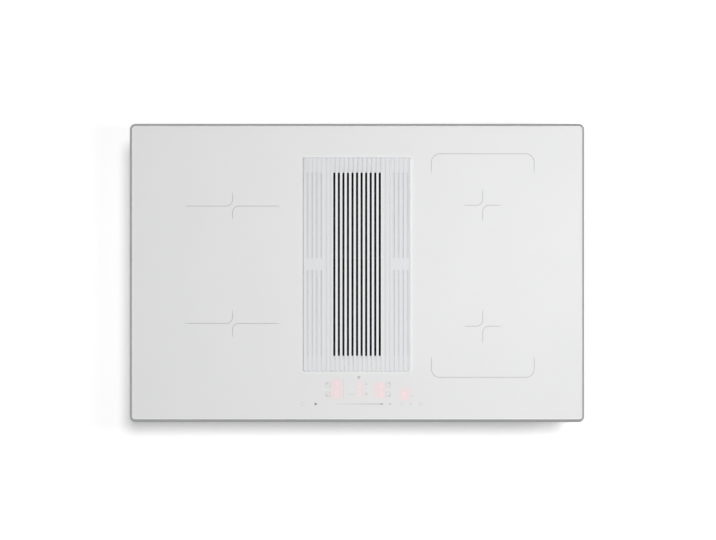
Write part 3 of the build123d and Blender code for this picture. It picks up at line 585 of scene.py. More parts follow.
# %% Rim and filter
rim_metal = mottled(
    "rim_aluminium", 35.0, (0.335, 0.336, 0.340), (0.365, 0.365, 0.368), 0.34, metal=1.0
)
rim_places = axes(rim_metal)
# Painted shade on the front rail.
paint_band(rim_metal, rim_places["Y"], -260.0, -252.0, 0.3, (0.320, 0.321, 0.325))
# Painted highlight on the right rail.
paint_band(rim_metal, rim_places["X"], 386.0, 392.0, 0.3, (0.42, 0.42, 0.425))
vary_gloss(rim_metal, 400.0, 0.30, 0.40)
grain(rim_metal, 2500.0, 0.12, 0.00005)
filter_coat = mottled(
    "filter_coat", 120.0, (0.028, 0.028, 0.030), (0.045, 0.045, 0.048), 0.42, coat=0.3
)
vary_gloss(filter_coat, 300.0, 0.32, 0.50)
grain(filter_coat, 1200.0, 0.25, 0.0001)
edge_wear_and_highlight(filter_coat, (0.16, 0.16, 0.165), 0.6)
handle_coat = mottled("handle_coat", 120.0, (0.015, 0.015, 0.016), (0.022, 0.022, 0.023), 0.75)
print("metals seen from above:", rim_metal.name, filter_coat.name, handle_coat.name)

# %% Inner metals
LENGTHWISE = (0.15, 4.0, 4.0)
TURNED = (1.0, 1.0, 12.0)
mill_metal = mottled(
    "mill_aluminium", 60.0, (0.58, 0.585, 0.59), (0.72, 0.725, 0.73), 0.36, 1.0, stretch=LENGTHWISE
)
grain(mill_metal, 500.0, 0.15, 0.0001, (0.05, 3.0, 3.0))
screw_metal = mottled("screw_zinc", 500.0, (0.52, 0.53, 0.53), (0.68, 0.66, 0.60), 0.28, 1.0)
grain(screw_metal, 2600.0, 0.2, 0.0001)
motor_metal = mottled(
    "motor_steel", 90.0, (0.36, 0.37, 0.39), (0.48, 0.49, 0.50), 0.35, 1.0, stretch=TURNED
)
grain(motor_metal, 700.0, 0.25, 0.0002, (0.2, 0.2, 6.0))
copper = mottled("enamelled_copper", 260.0, (0.50, 0.18, 0.08), (0.70, 0.32, 0.15), 0.32, 1.0, 0.3)
grain(copper, 1300.0, 0.5, 0.0002)
ferrite = mottled("sintered_ferrite", 180.0, (0.045, 0.045, 0.05), (0.075, 0.075, 0.08), 0.62)
grain(ferrite, 900.0, 0.5, 0.0002)
print("inner metals:", mill_metal.name, screw_metal.name, motor_metal.name, copper.name)

# %% [markdown]
# ## Sheets inside
# Mica insulates the coils: a pale mineral sheet with cloudy patches, so its noise has more
# detail. A circuit board is green lacquer over copper tracks, and a brick pattern with thin
# light joints reads as tracks at this size.

# %% Mica and circuit board
mica = mottled(
    "mica_sheet", 45.0, (0.42, 0.38, 0.31), (0.58, 0.54, 0.46), 0.35, coat=0.2, detail=6.0
)
grain(mica, 260.0, 0.3, 0.0001)
board = new_finish("circuit_board", (0.02, 0.12, 0.06), 0.3, coat=0.3)
tracks = add_node(
    board,
    "TexBrick",
    Scale=60.0,
    Color1=(0.018, 0.115, 0.055, 1.0),
    Color2=(0.022, 0.135, 0.065, 1.0),
    Mortar=(0.045, 0.20, 0.10, 1.0),
    Mortar_Size=0.03,
)
link(board, surface_points(board), tracks.inputs["Vector"])
feed(board, tracks.outputs["Color"], "Base Color")
grain(board, 400.0, 0.15, 0.0001)
print("sheets:", mica.name, board.name)

# %% [markdown]
# ## White glass with lights behind it
# The glass is glossy and printed white underneath, with a painted highlight along its front edge.
# Red digits shine through it, and the glass scatters a pale pink glow around them. The glow is part
# of the glass finish: a soft box round each group of digits, measured from its middle, tints
# the colour and adds a little light.

# %% White glass
# Each group of digits: its middle, its half size, both in millimetres, and its strength.
DIGIT_GROUPS = {
    "left": ((-36.5, -199.0), (3.5, 11.0), 1.0),
    "middle": ((3.8, -199.0), (2.0, 9.0), 0.42),
    "right": ((38.5, -201.0), (5.0, 8.0), 0.85),
    "fan": ((80.3, -208.0), (3.5, 5.0), 1.0),
}
GLOW_REACH = 11.0 * MM


def soft_box(material, middle, half, strength):
    """The strength inside a box on the glass, falling smoothly to 0 within the glow's reach."""
    steps = (
        ("SUBTRACT", (middle[0] * MM, middle[1] * MM, GLASS_TOP)),
        ("ABSOLUTE", None),
        ("SUBTRACT", (half[0] * MM, half[1] * MM, 1.0)),
        ("MAXIMUM", (0.0, 0.0, 0.0)),
        ("LENGTH", None),
    )
    value = add_node(material, "TexCoord").outputs["Object"]
    for operation, other in steps:
        step = add_node(material, "VectorMath")
        step.operation = operation
        link(material, value, step.inputs[0])
        if other:
            step.inputs[1].default_value = other
        value = step.outputs["Value" if operation == "LENGTH" else "Vector"]
    fade = add_node(material, "MapRange", From_Max=GLOW_REACH, To_Min=strength, To_Max=0.0)
    fade.interpolation_type = "SMOOTHERSTEP"
    link(material, value, fade.inputs["Value"])
    return fade.outputs["Result"]


white_glass = mottled("white_glass", 9.0, (0.760, 0.761, 0.762), (0.767, 0.768, 0.769), 0.08)
# Painted highlight along the front edge of the glass.
paint_band(white_glass, axes(white_glass)["Y"], -250.9, -249.6, 0.3, (0.86, 0.861, 0.862))
glow = None
for middle, half, strength in DIGIT_GROUPS.values():
    box_glow = soft_box(white_glass, middle, half, strength)
    glow = combine(white_glass, "MAXIMUM", glow, box_glow) if glow else box_glow
paint_over(white_glass, glow, (0.80, 0.70, 0.71))
glow_colour = mix_colours(white_glass, glow, (0.0, 0.0, 0.0), (0.05, 0.008, 0.012))
feed(white_glass, glow_colour, "Emission Color")
shader_of(white_glass).inputs["Emission Strength"].default_value = 1.0
vary_gloss(white_glass, 30.0, 0.06, 0.10)
print("glass finish:", white_glass.name, "with", len(DIGIT_GROUPS), "glows")

# %% [markdown]
# ## White powder coat
# The grille is cast and powder coated. Its coat grows lighter towards the front. Painted shade
# lies in the shallow grooves and along the rear edge, and a painted highlight on the bars
# between the slots and along the sides. Each of these is a band on Object coordinates, which
# stay with the grille when it is lifted.

# %% Powder coat
white_coat = mottled(
    "white_coat", 25.0, (0.610, 0.616, 0.626), (0.624, 0.630, 0.640), 0.30, coat=0.25
)
coat_places = axes(white_coat)
along = coat_places["Y"]
across = combine(white_coat, "ABSOLUTE", coat_places["X"])
# The coat grows lighter towards the front.
towards_front = spread_values(white_coat, along, 1.0, 0.0, -0.17, 0.20)
paint_over(white_coat, towards_front, (0.672, 0.678, 0.689))
# Painted highlight on the bars between the slots.
slots_wide = between(white_coat, across, -1.0, 42.5, 1.5)
slots_long = between(white_coat, along, -142.0, 172.0, 1.0)
bars = combine(white_coat, "MULTIPLY", slots_wide, slots_long)
paint_over(white_coat, bars, (0.81, 0.815, 0.825))
# Painted shade in the shallow grooves.
paint_band(white_coat, coat_places["Z"], 8.6, 9.1, 0.3, (0.575, 0.582, 0.592))
# Painted highlight along the sides.
paint_band(white_coat, across, 91.2, 99.0, 0.3, (0.84, 0.845, 0.85))
# Painted shade along the rear edge.
paint_band(white_coat, along, 196.6, 199.0, 0.4, (0.53, 0.536, 0.546))
grain(white_coat, 1100.0, 0.10, 0.0001)
# Painted highlight on the grille's proud edges.
edge_wear_and_highlight(white_coat, (0.80, 0.805, 0.815), 0.5)
print("coat:", white_coat.name)

# %% [markdown]
# ## Inks, lights and clear silicone
# The marks are ceramic ink in four greys. The digits shine, so they have a little light of
# their own. The silicone round the glass is clear, with painted shade on its front strip.

# %% Inks and lights
INK_ROUGH = 0.35
pale_ink = mottled("pale_ink", 700.0, (0.44, 0.44, 0.442), (0.49, 0.49, 0.492), INK_ROUGH)
faint_ink = mottled("faint_ink", 700.0, (0.58, 0.58, 0.582), (0.62, 0.62, 0.622), INK_ROUGH)
dark_ink = mottled("dark_ink", 700.0, (0.14, 0.14, 0.142), (0.19, 0.19, 0.192), INK_ROUGH)
key_ink = mottled("key_ink", 700.0, (0.52, 0.52, 0.522), (0.56, 0.56, 0.562), INK_ROUGH)


def lit(name, low, high, colour, strength):
    """A finish with a little light of its own."""
    material = mottled(name, 900.0, low, high, 0.3)
    shader_of(material).inputs["Emission Color"].default_value = (*colour, 1.0)
    shader_of(material).inputs["Emission Strength"].default_value = strength
    return material


red_light = lit("red_light", (0.76, 0.54, 0.55), (0.80, 0.58, 0.59), (1.0, 0.80, 0.81), 0.22)
dim_light = lit("dim_light", (0.82, 0.70, 0.70), (0.86, 0.74, 0.74), (1.0, 0.85, 0.85), 0.05)
clear_silicone = mottled(
    "clear_silicone", 200.0, (0.77, 0.78, 0.78), (0.81, 0.82, 0.82), 0.25, coat=0.3
)
bead_places = axes(clear_silicone)
# Painted shade on the bead's front strip, in the joint at the front.
paint_band(clear_silicone, bead_places["Y"], -253.0, -250.6, 0.1, (0.36, 0.365, 0.37))
print("inks:", pale_ink.name, faint_ink.name, dark_ink.name, red_light.name)

# %% [markdown]
# ## Frame parts that keep their own shape
# Most of the frame's parts already have their true shape. Each gets its finish, and those that
# show get live modifiers: Weld joins the loose triangles, a planar Decimate brings back whole
# faces, and a narrow Bevel breaks the sharp corners, as pressing and moulding do. The light
# catches on the edges of the rim and the grille, so they are rounded too.

# %% Finishes for the frame's parts
finishes = {
    "rim": rim_metal,
    "grille": white_coat,
    "rubber": rubber,
    "foam": foam,
    "black_plastic": black_plastic,
    "grey_plastic": grey_plastic,
    "filter_metal": filter_coat,
    "zinc_steel": zinc_steel,
    "screw_steel": screw_metal,
    "carrier": mill_metal,
    "copper": copper,
    "ferrite": ferrite,
    "mica": mica,
    "board": board,
    "cream_plastic": cream_plastic,
    "silicone": silicone,
    "display": display_plastic,
    "impeller": wheel_plastic,
    "motor": motor_metal,
    "white_glass": white_glass,
}
for part in frame["record"]["subparts"]:
    shape = nodes[part["node"]]
    shape.data.materials.clear()
    own_finish = handle_coat if part["node"] == "filter_handle" else None
    shape.data.materials.append(own_finish or finishes[part["material_slot"]])

# %% Broken corners
corner_rounding = {
    0.2: "intake_grille grille_bumpers",
    0.25: "tray_screws housing_screws clamp_screws backdraft_flap terminal_block",
    0.3: "base_tray tray_walls glass_brackets terminal_cover worktop_clamps filter_frame",
    0.4: "cooling_fan_frame_left cooling_fan_frame_right control_bracket heat_sinks "
    "power_board_left power_board_right digit_displays",
    0.5: "intake_collar intake_well filter_handle cable_gland inlet_ring motor_mount",
    0.6: "collector_box plenum_duct scroll_upper scroll_lower outlet_duct drip_tray",
    0.7: "trim_frame",
}


def round_corners(shape, width):
    """Live modifiers that merge, flatten and round a frame part."""
    weld = shape.modifiers.new("weld", "WELD")
    weld.merge_threshold = 0.001 * MM
    flat = shape.modifiers.new("flat", "DECIMATE")
    flat.decimate_type = "DISSOLVE"
    flat.angle_limit = radians(0.5)
    bevel = shape.modifiers.new("round", "BEVEL")
    bevel.width = width
    bevel.segments = 2
    bevel.limit_method = "ANGLE"
    bevel.angle_limit = radians(40)
    bevel.use_clamp_overlap = True
    shading = shape.modifiers.new("shade", "WEIGHTED_NORMAL")
    shading.keep_sharp = True


for width, names in corner_rounding.items():
    for name in names.split():
        round_corners(nodes[name], width * MM)
print("rounded", sum(len(names.split()) for names in corner_rounding.values()), "parts")

# %% [markdown]
# ## Printed zone marks
# Four cooking zones are marked on the glass with thin grey crosses. Each cross is two pen
# strokes that turn a corner back to back, and each stroke fades out at its ends. Text or curve
# objects could draw them, but a strip of plane is closer to how a plotter works: its leading
# edge is extruded along the runs and spun round the bends, and the tips are drawn narrow.

# %% Pen strokes
INK_RISE = 0.04
INK_LEVEL = GLASS_TOP / MM + INK_RISE / 2
TIP = 8.0
TIP_SHARE = 0.3


def near(spot, reach=0.05):
    """A test for edges whose middle lies at a spot on the plan."""

    def test(a, b):
        middle = (a + b) / 2
        return abs(middle.x - spot[0] * MM) + abs(middle.y - spot[1] * MM) < reach * MM

    return test


def pinch(spot):
    """Draw the selected edge narrow, about a spot on the plan."""
    centre = (spot[0] * MM, spot[1] * MM, GLASS_TOP)
    bpy.ops.transform.resize(value=(TIP_SHARE, TIP_SHARE, TIP_SHARE), center_override=centre)


def face_out(piece):
    """Merge doubled points and turn every face outwards."""
    pick_all(piece)
    bpy.ops.mesh.remove_doubles(threshold=0.0005 * MM)
    bpy.ops.mesh.normals_make_consistent(inside=False)
    bpy.ops.object.mode_set(mode="OBJECT")
    return piece


def thicken(sheet, thickness):
    """Give a flat sheet its thickness, half to each side, with its faces outwards."""
    face_out(sheet)
    finish_off(sheet, "SOLIDIFY", thickness=thickness * MM, offset=0)
    return face_out(sheet)


def flat_plane(name, spot, width, depth, turn=(0, 0, 0)):
    """A plane primitive of a width and a depth, turned about its middle."""
    clear_bench()
    bpy.ops.mesh.primitive_plane_add(size=1, location=[v * MM for v in spot], rotation=turn)
    bpy.context.object.scale = (width * MM, depth * MM, 1)
    return settle(bpy.context.object, name)


def pen_stroke(name, width, start, heading, moves, tip=TIP, end_tip=None):
    """A flat strip from a start: each move is a run with its length, or a bend with its radius."""
    ahead = Vector((*heading, 0.0))
    spot = Vector((*start, 0.0)) + ahead * tip
    middle = spot - ahead * tip / 2
    turn = (0, 0, atan2(ahead.y, ahead.x))
    strip = flat_plane(name, (middle.x, middle.y, INK_LEVEL), tip, width, turn)
    pick(strip, "EDGE", near(start))
    pinch(start)
    pick(strip, "EDGE", near(spot))
    for kind, amount in [*moves, ("run", end_tip or tip)]:
        if kind == "run":
            spot += ahead * amount
            extrude_by(ahead * amount)
            continue
        side = 1 if kind == "left" else -1
        across = Vector((-ahead.y, ahead.x, 0.0)) * side
        pivot = spot + across * amount
        centre = (pivot.x * MM, pivot.y * MM, GLASS_TOP)
        bpy.ops.mesh.spin(steps=10, angle=-side * pi / 2, center=centre, axis=(0, 0, 1))
        spot = pivot + ahead * amount
        ahead = across
    pinch(spot)
    return thicken(strip, INK_RISE)


print("pen ready, ink", INK_RISE, "mm thick")

# %% Zone crosses
CROSS_BEND = 10.8
STROKE = 1.15
# Each zone: its middle, and how far its cross reaches sideways and up.
ZONES = {
    "left_back": ((-213.7, 114.8), 82.5, 24.0),
    "left_front": ((-213.7, -86.5), 82.5, 24.0),
    "right_back": ((215.6, 116.3), 34.0, 29.0),
    "right_front": ((215.6, -91.3), 34.0, 29.0),
}
for zone, (middle, arm, leg) in ZONES.items():
    moves = [("run", arm - CROSS_BEND - TIP), ("left", CROSS_BEND), ("run", leg - CROSS_BEND - TIP)]
    strokes = []
    for side in (-1, 1):
        start = (middle[0] + side * arm, middle[1])
        strokes.append(pen_stroke("cross_stroke", STROKE, start, (-side, 0), moves))
    place(join(f"zone_cross_{zone}", strokes), "root", pale_ink)
print("crosses:", list(ZONES))

# %% [markdown]
# ## Bridge brackets
# Two zones on the right can be bridged to one, which a bracket behind and one in front show.
# They are the same pen stroke with two bends: out, across and back.

# %% Bridge brackets
BRACKET_BEND = 14.5
BRACKET_LEFT = 127.5
BRACKET_RIGHT = 303.9
# Each bracket: the height of its line and of its ends on the plan, and the way it turns.
BRACKETS = {"back": (204.5, 170.5, "right"), "front": (-179.0, -143.3, "left")}
for name, (line_y, end_y, turn) in BRACKETS.items():
    leg = ("run", abs(line_y - end_y) - BRACKET_BEND - TIP)
    line = ("run", BRACKET_RIGHT - BRACKET_LEFT - 2 * BRACKET_BEND)
    bend = (turn, BRACKET_BEND)
    heading = (0, 1 if line_y > end_y else -1)
    moves = [leg, bend, line, bend, leg]
    mark = pen_stroke(f"bridge_bracket_{name}", STROKE, (BRACKET_LEFT, end_y), heading, moves)
    place(mark, "root", pale_ink)
print("brackets:", list(BRACKETS))

# %% [markdown]
# ## Touch controls
# The keys are printed in the same grey ink, and red digits shine through the glass. A digit has
# up to seven bars with pointed ends. One bar is a six-sided disc with its middle points pulled
# apart, and every digit is made of copies of it.

# %% Seven-bar digits
HALF_X, HALF_Y = 2.3, 4.2
BAR_WIDTH = 0.95
BAR_GAP = 0.5
BARS_LIT = {
    "0": "abcdef",
    "3": "abcdg",
    "5": "acdfg",
    "7": "abc",
    "8": "abcdefg",
    "9": "abcdfg",
}


def digit_bar(name, length, turn):
    """A flat bar with pointed ends, lying along X and then turned."""
    clear_bench()
    bpy.ops.mesh.primitive_circle_add(vertices=6, radius=BAR_WIDTH * MM / sqrt(3), fill_type="NGON")
    bar = settle(bpy.context.object, name)
    for side in (-1, 1):
        pick(bar, "VERT", lambda point: point.x * side > 0.1 * MM)
        bpy.ops.transform.translate(value=(side * (length - BAR_WIDTH) / 2 * MM, 0, 0))
        bpy.ops.object.mode_set(mode="OBJECT")
    return thicken(move_to(bar, (0, 0, INK_LEVEL), (0, 0, turn)), INK_RISE)


flat_bar = digit_bar("flat_bar", 2 * HALF_X - BAR_GAP, 0)
upright_bar = digit_bar("upright_bar", HALF_Y - BAR_GAP, pi / 2)
BAR_PLACES = {
    "a": (flat_bar, 0, HALF_Y),
    "b": (upright_bar, HALF_X, HALF_Y / 2),
    "c": (upright_bar, HALF_X, -HALF_Y / 2),
    "d": (flat_bar, 0, -HALF_Y),
    "e": (upright_bar, -HALF_X, -HALF_Y / 2),
    "f": (upright_bar, -HALF_X, HALF_Y / 2),
    "g": (flat_bar, 0, 0),
}


def digits(*wanted):
    """The lit bars of some digits, each given with the spot of its middle."""
    bars = []
    for number, spot in wanted:
        for letter in BARS_LIT[number]:
            pattern, x, y = BAR_PLACES[letter]
            bars += copies(pattern, [(spot[0] + x, spot[1] + y, 0)])
    return bars


bright = digits(
    ("7", (-35.6, -192.0)),
    ("5", (-35.6, -208.0)),
    ("8", (41.0, -192.0)),
    ("3", (41.0, -208.0)),
    ("9", (80.3, -209.3)),
)
soft = digits(("0", (4.0, -193.1)), ("0", (4.0, -207.3)))
place(join("level_digits", bright), "root", red_light)
place(join("timer_digits", soft), "root", dim_light)
discard(flat_bar, upright_bar)
print("bars lit:", len(bright), "bright and", len(soft), "dim")

# %% [markdown]
# ## Printed keys
# Most keys are short strokes: an outlined square for each zone, a bar for less, a cross for
# more. The round ones are a short edge spun about the key's middle, and the arrows are discs
# with three corners. What has one ink is joined, as one pass of the printing screen lays it.

# %% Key shapes
ACROSS = (1, 0)
UP = (0, 1)
KEY_HALF = 4.0
KEY_LINE = 0.75
KEY_TIP = 1.0
FILL = 2.6
FILL_TIP = 0.3
FILL_REACH = 1.7


def key_stroke(width, start, heading, length, tip=KEY_TIP, end_tip=None):
    """A straight stroke whose length leaves out its tips."""
    return pen_stroke("key_stroke", width, start, heading, [("run", length)], tip, end_tip)


def key_square(x, y, corner):
    """An outlined square with one small filled square in the corner that its zone has."""
    run = 2 * KEY_HALF - 2 * KEY_TIP
    lines = []
    for side in (-KEY_HALF, KEY_HALF):
        lines.append(key_stroke(KEY_LINE, (x - KEY_HALF, y + side), ACROSS, run))
        lines.append(key_stroke(KEY_LINE, (x + side, y - KEY_HALF), UP, run))
    start = (x + corner[0] * FILL_REACH - FILL / 2, y + corner[1] * FILL_REACH)
    return [*lines, key_stroke(FILL, start, ACROSS, FILL - 2 * FILL_TIP, FILL_TIP)]


def arrow_head(name, spot, radius, turn):
    """A filled triangle that points along the turn."""
    clear_bench()
    bpy.ops.mesh.primitive_circle_add(vertices=3, radius=radius * MM, fill_type="NGON")
    arrow = settle(bpy.context.object, name)
    return thicken(move_to(arrow, (*spot, INK_LEVEL), (0, 0, turn)), INK_RISE)


def key_ring(spot, radius, width, degrees_round=359):
    """Part of a ring, drawn by spinning a short edge strip round its middle."""
    x, y = spot
    ring = flat_plane("key_ring", (x + radius, y, INK_LEVEL), width, 0.02)
    pick(ring, "EDGE", near((x + radius, y + 0.01), 0.005))
    centre = (x * MM, y * MM, INK_LEVEL * MM)
    bpy.ops.mesh.spin(steps=24, angle=-radians(degrees_round), center=centre, axis=(0, 0, 1))
    bpy.ops.object.mode_set(mode="OBJECT")
    return thicken(ring, INK_RISE)


print("key shapes ready")

# %% Keys and slider
LOWER_ROW = -224.8
zone_keys = [
    *key_square(-49.9, -191.8, (-1, 1)),
    *key_square(-49.9, -208.2, (-1, -1)),
    *key_square(53.4, -191.8, (1, 1)),
    *key_square(53.4, -208.2, (1, -1)),
    key_stroke(0.9, (12.8, -207.7), ACROSS, 4.0),
    key_stroke(0.9, (15.8, -210.7), UP, 4.0),
    arrow_head("timer_up", (16.0, -190.7), 2.2, 0),
]
place(join("zone_keys", zone_keys), "root", key_ink)
fine_keys = [
    key_stroke(0.7, (-23.3, -216.2), UP, 30.0, 2.0),
    key_stroke(0.9, (-17.3, -207.7), ACROSS, 12.0, 1.5),
    key_ring((-93.5, LOWER_ROW), 3.0, 0.7, 300),
    key_stroke(0.7, (-93.5, -224.4), UP, 3.2, 0.4),
    key_ring((77.1, LOWER_ROW), 2.6, 0.7),
    key_stroke(0.9, (90.4, -227.3), UP, 4.4, 0.4),
    key_stroke(0.9, (92.6, -227.3), UP, 4.4, 0.4),
    key_ring((109.7, LOWER_ROW), 2.8, 0.8),
    key_ring((93.7, -211.1), 1.3, 0.8),
]
place(join("fine_keys", fine_keys), "root", faint_ink)
slider = [
    key_stroke(1.3, (-36.1, LOWER_ROW), ACROSS, 12.0, 68.0, 0.6),
    arrow_head("slider_tip", (42.6, LOWER_ROW), 2.4, -pi / 2),
    key_ring((56.7, LOWER_ROW), 1.2, 1.0),
    arrow_head("grille_arrow", (3.0, -179.2), 3.6, pi),
]
place(join("slider", slider), "root", pale_ink)
place(arrow_head("start_arrow", (-71.2, LOWER_ROW), 3.0, -pi / 2), "root", dark_ink)
print("keys printed:", len(zone_keys) + len(fine_keys) + len(slider) + 1, "shapes")

# %% [markdown]
# ## Sealing bead
# Clear silicone closes the joint between glass and rim. Seen from above it is a thin line,
# lighter than the metal. It is drawn as a plane with rounded corners, inset once; the middle is
# taken away, and the strip that is left is thickened and softened.

# %% Sealing bead


def flat_band(name, size, spot, turn, corner, border, thickness, soft):
    """A closed band round a rectangle of a width and a depth, turned and put at a spot."""
    band = flat_plane(name, (0, 0, 0), *size)
    pick_all(band, "VERT")
    bpy.ops.mesh.bevel(offset=corner * MM, segments=8, affect="VERTICES")
    pick_all(band, "FACE")
    bpy.ops.mesh.inset(thickness=border * MM, depth=0)
    bpy.ops.mesh.delete(type="FACE")
    bpy.ops.object.mode_set(mode="OBJECT")
    thicken(band, thickness)
    finish_off(band, "BEVEL", width=soft * MM, segments=2, limit_method="ANGLE")
    return smooth(move_to(band, spot, turn))


glass_low, glass_high = in_mm(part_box("glass_top"))
glass_size = glass_high - glass_low
BEAD_LAP = 0.4
FLAT = (0, 0, 0)
bead = flat_band(
    "sealing_bead",
    (glass_size.x + 2 * BEAD_LAP, glass_size.y + 2 * BEAD_LAP),
    (0, 0, glass_high.z + 0.22),
    FLAT,
    corner=6.2,
    border=1.3,
    thickness=0.5,
    soft=0.2,
)
place(bead, "root", clear_silicone)
print("bead round", round(glass_size.x, 1), "by", round(glass_size.y, 1), "mm of glass")

# %% [markdown]
# ## Grease filter
# Under the grille hangs a steel basket with layers of expanded mesh. Expanded mesh has long
# diamonds. A grid turned by 45 degrees and stretched gives the diamonds, four bisects trim it to
# the basket, and a Wireframe modifier turns every edge into a strand.

# %% Filter mesh layers
mesh_low, mesh_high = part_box("filter_mesh")
DIAMOND = 7.0
STRAND = 1.3
LONG = (1.0, 1.9)
WIDE = (1.9, 1.0)


def trim_sheet(sheet, low, high):
    """Cut a flat sheet to the box between two corners."""
    cuts = (((low.x, 0, 0), (-1, 0, 0)), ((high.x, 0, 0), (1, 0, 0)))
    cuts += (((0, low.y, 0), (0, -1, 0)), ((0, high.y, 0), (0, 1, 0)))
    for spot, outwards in cuts:
        pick_all(sheet)
        bpy.ops.mesh.bisect(plane_co=spot, plane_no=outwards, clear_outer=True)
        bpy.ops.object.mode_set(mode="OBJECT")


def diamond_layer(name, z, stretch):
    """One layer of expanded mesh at a height."""
    size = mesh_high - mesh_low
    middle = (mesh_low + mesh_high) / 2
    reach = size.x / stretch[0] + size.y / stretch[1]
    count = int(reach / (DIAMOND * MM))
    side = reach / sqrt(2)
    clear_bench()
    bpy.ops.mesh.primitive_grid_add(x_subdivisions=count, y_subdivisions=count, size=side)
    layer = bpy.context.object
    layer.rotation_euler.z = radians(45)
    settle(layer, name)
    layer.scale = (*stretch, 1)
    layer.location = (middle.x, middle.y, z)
    settle(layer, name)
    trim_sheet(layer, mesh_low, mesh_high)
    strands = {"thickness": STRAND * MM, "use_even_offset": False, "use_boundary": True}
    return finish_off(layer, "WIREFRAME", **strands)


layers = [
    diamond_layer("mesh_layer_long", mesh_high.z - 0.9 * MM, LONG),
    diamond_layer("mesh_layer_wide", mesh_high.z - 2.6 * MM, WIDE),
    diamond_layer("mesh_layer_low", mesh_low.z + 0.9 * MM, LONG),
]
filter_layers = join("filter_layers", layers)
place(filter_layers, "filter", filter_coat)
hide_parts("filter_mesh")
print("filter layers:", len(filter_layers.data.polygons), "faces")

# %% [markdown]
# ## Pressed tray
# A thin steel tray is stiffened by beads that the press forms outwards, long ovals about a
# millimetre high. Each starts as a block; its corners are rounded first, and then its rim, so
# that it meets the sheet in a soft curve. One bead of each kind is modelled and copied.

# %% Pressed beads
tray_bottom = in_mm(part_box("base_tray"))[0].z
walls_low, walls_high = in_mm(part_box("tray_walls"))


def pressed_beads(length, width, rise, turn, spots):
    """Copies of an oval bead along X that stands down from z = 0 and is then turned."""
    pattern = block("pressed_bead", (-length / 2, -width / 2, -rise), (length / 2, width / 2, 0.4))
    bevel_edges(pattern, upright, width * 0.49, 6)
    bevel_edges(pattern, level_at(-rise), rise * 0.8, 3)
    made = copies(smooth(pattern), spots, turn)
    discard(pattern)
    return made


floor_spots = [(x, -45.0, tray_bottom) for x in (-345.0, -305.0, -265.0, -225.0, -185.0, -145.0)]
cross_spots = [(232.0, y, tray_bottom) for y in (-218.0, -190.0, -162.0)]
wall_spots = [(0, walls_low.y, z) for z in (-19.0, -37.0)]
beads = pressed_beads(300.0, 12.0, 1.2, (0, 0, pi / 2), floor_spots)
beads += pressed_beads(230.0, 12.0, 1.2, (0, 0, 0), cross_spots)
beads += pressed_beads(190.0, 7.0, 1.0, (-pi / 2, 0, 0), wall_spots)
place(join("tray_beads", beads), "root", zinc_steel)
print("beads:", len(beads))

# %% [markdown]
# ## Rivets and screws
# The tray's floor is riveted to its folded walls, and the small fans hang from it by screws.
# Both are a short cylinder whose outer edge is bevelled to a dome; a screw's face is also inset
# and pushed in, which gives its socket.

# %% Rivets and screws
SCREW_REACH = 35.7
CORNER_Y = 232.0


def domed_head(name, radius, height, recess=0.0):
    """A round head below z = 0, with a softened edge and, if asked, a socket."""
    head = rod(name, radius, -height, 0.2, 24)
    bevel_edges(head, level_at(-height), height * 0.55, 3)
    if recess:
        lowest = -height * 0.98 * MM
        sink(head, lambda face: face.center.z < lowest, radius * 0.42, (0, 0, recess))
    return smooth(head, 40)


fan_spots = []
for low, high in (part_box("cooling_fan_frame_left"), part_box("cooling_fan_frame_right")):
    middle = (low + high) / 2 / MM
    for x in (middle.x - SCREW_REACH, middle.x + SCREW_REACH):
        for y in (middle.y - SCREW_REACH, middle.y + SCREW_REACH):
            fan_spots.append((x, y, tray_bottom))
fan_screw = domed_head("fan_screw", 3.6, 1.8, 1.0)
lay_out("fan_screws", fan_screw, fan_spots, "root", screw_metal)
rivet_spots = [(x, y, tray_bottom) for x in (-362, -110, 118, 362) for y in (-CORNER_Y, CORNER_Y)]
rivet_spots += [(x, y, tray_bottom) for x in (-362, 362) for y in (-110, 20)]
rivet = domed_head("rivet", 2.6, 1.2)
lay_out("tray_rivets", rivet, rivet_spots, "root", zinc_steel)
print("screws and rivets:", len(fan_spots), len(rivet_spots))

# %% [markdown]
# ## Moulded housing
# Large plastic housings carry ribs: thin fins that taper towards one end, so that they leave the
# mould. Those on the collector are deep under the flange and shallow at the foot. The fin is a
# block whose outer foot edge is moved in, copied along each wall.

# %% Collector ribs
box_low, box_high = in_mm(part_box("collector_box"))
drawer_low, drawer_high = in_mm(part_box("drip_tray"))
FLANGE = 9.0
RIB_THICK = 2.4
RIB_STEP = 38.9
PLENUM_REACH = 101.0
END_XS = (-60, -20, 20, 60)
box_left = box_low.x + FLANGE
box_front = box_low.y + FLANGE
box_back = box_high.y - FLANGE


def tapered_rib(name, reach, foot, low, high):
    """A fin in the XZ plane that stands out towards -X from x = 0, deep at the top."""
    rib = block(name, (-reach, -RIB_THICK / 2, low), (0.6, RIB_THICK / 2, high))
    pick(rib, "VERT", lambda point: point.x < 0 and point.z < (low + 1) * MM)
    bpy.ops.transform.translate(value=((reach - foot) * MM, 0, 0))
    bpy.ops.object.mode_set(mode="OBJECT")
    return soften(rib, 0.5)


side_rib = tapered_rib("side_rib", 7.5, 2.0, box_low.z + 4, box_high.z - 3)
short_rib = tapered_rib("short_rib", 7.5, 2.0, drawer_high.z + 6, box_high.z - 3)
side_ys = [box_front + 20 + step * RIB_STEP for step in range(9)]
right_ys = [y for y in side_ys if abs(y) > PLENUM_REACH]
ribs = copies(side_rib, [(box_left, y, 0) for y in side_ys])
ribs += copies(side_rib, [(-box_left, y, 0) for y in right_ys], (0, 0, pi))
ribs += copies(side_rib, [(x, box_back, 0) for x in END_XS], (0, 0, -pi / 2))
ribs += copies(short_rib, [(x, box_front, 0) for x in END_XS], (0, 0, pi / 2))
discard(side_rib, short_rib)
place(join("collector_ribs", ribs), "root", grey_plastic)
print("collector ribs:", len(ribs))

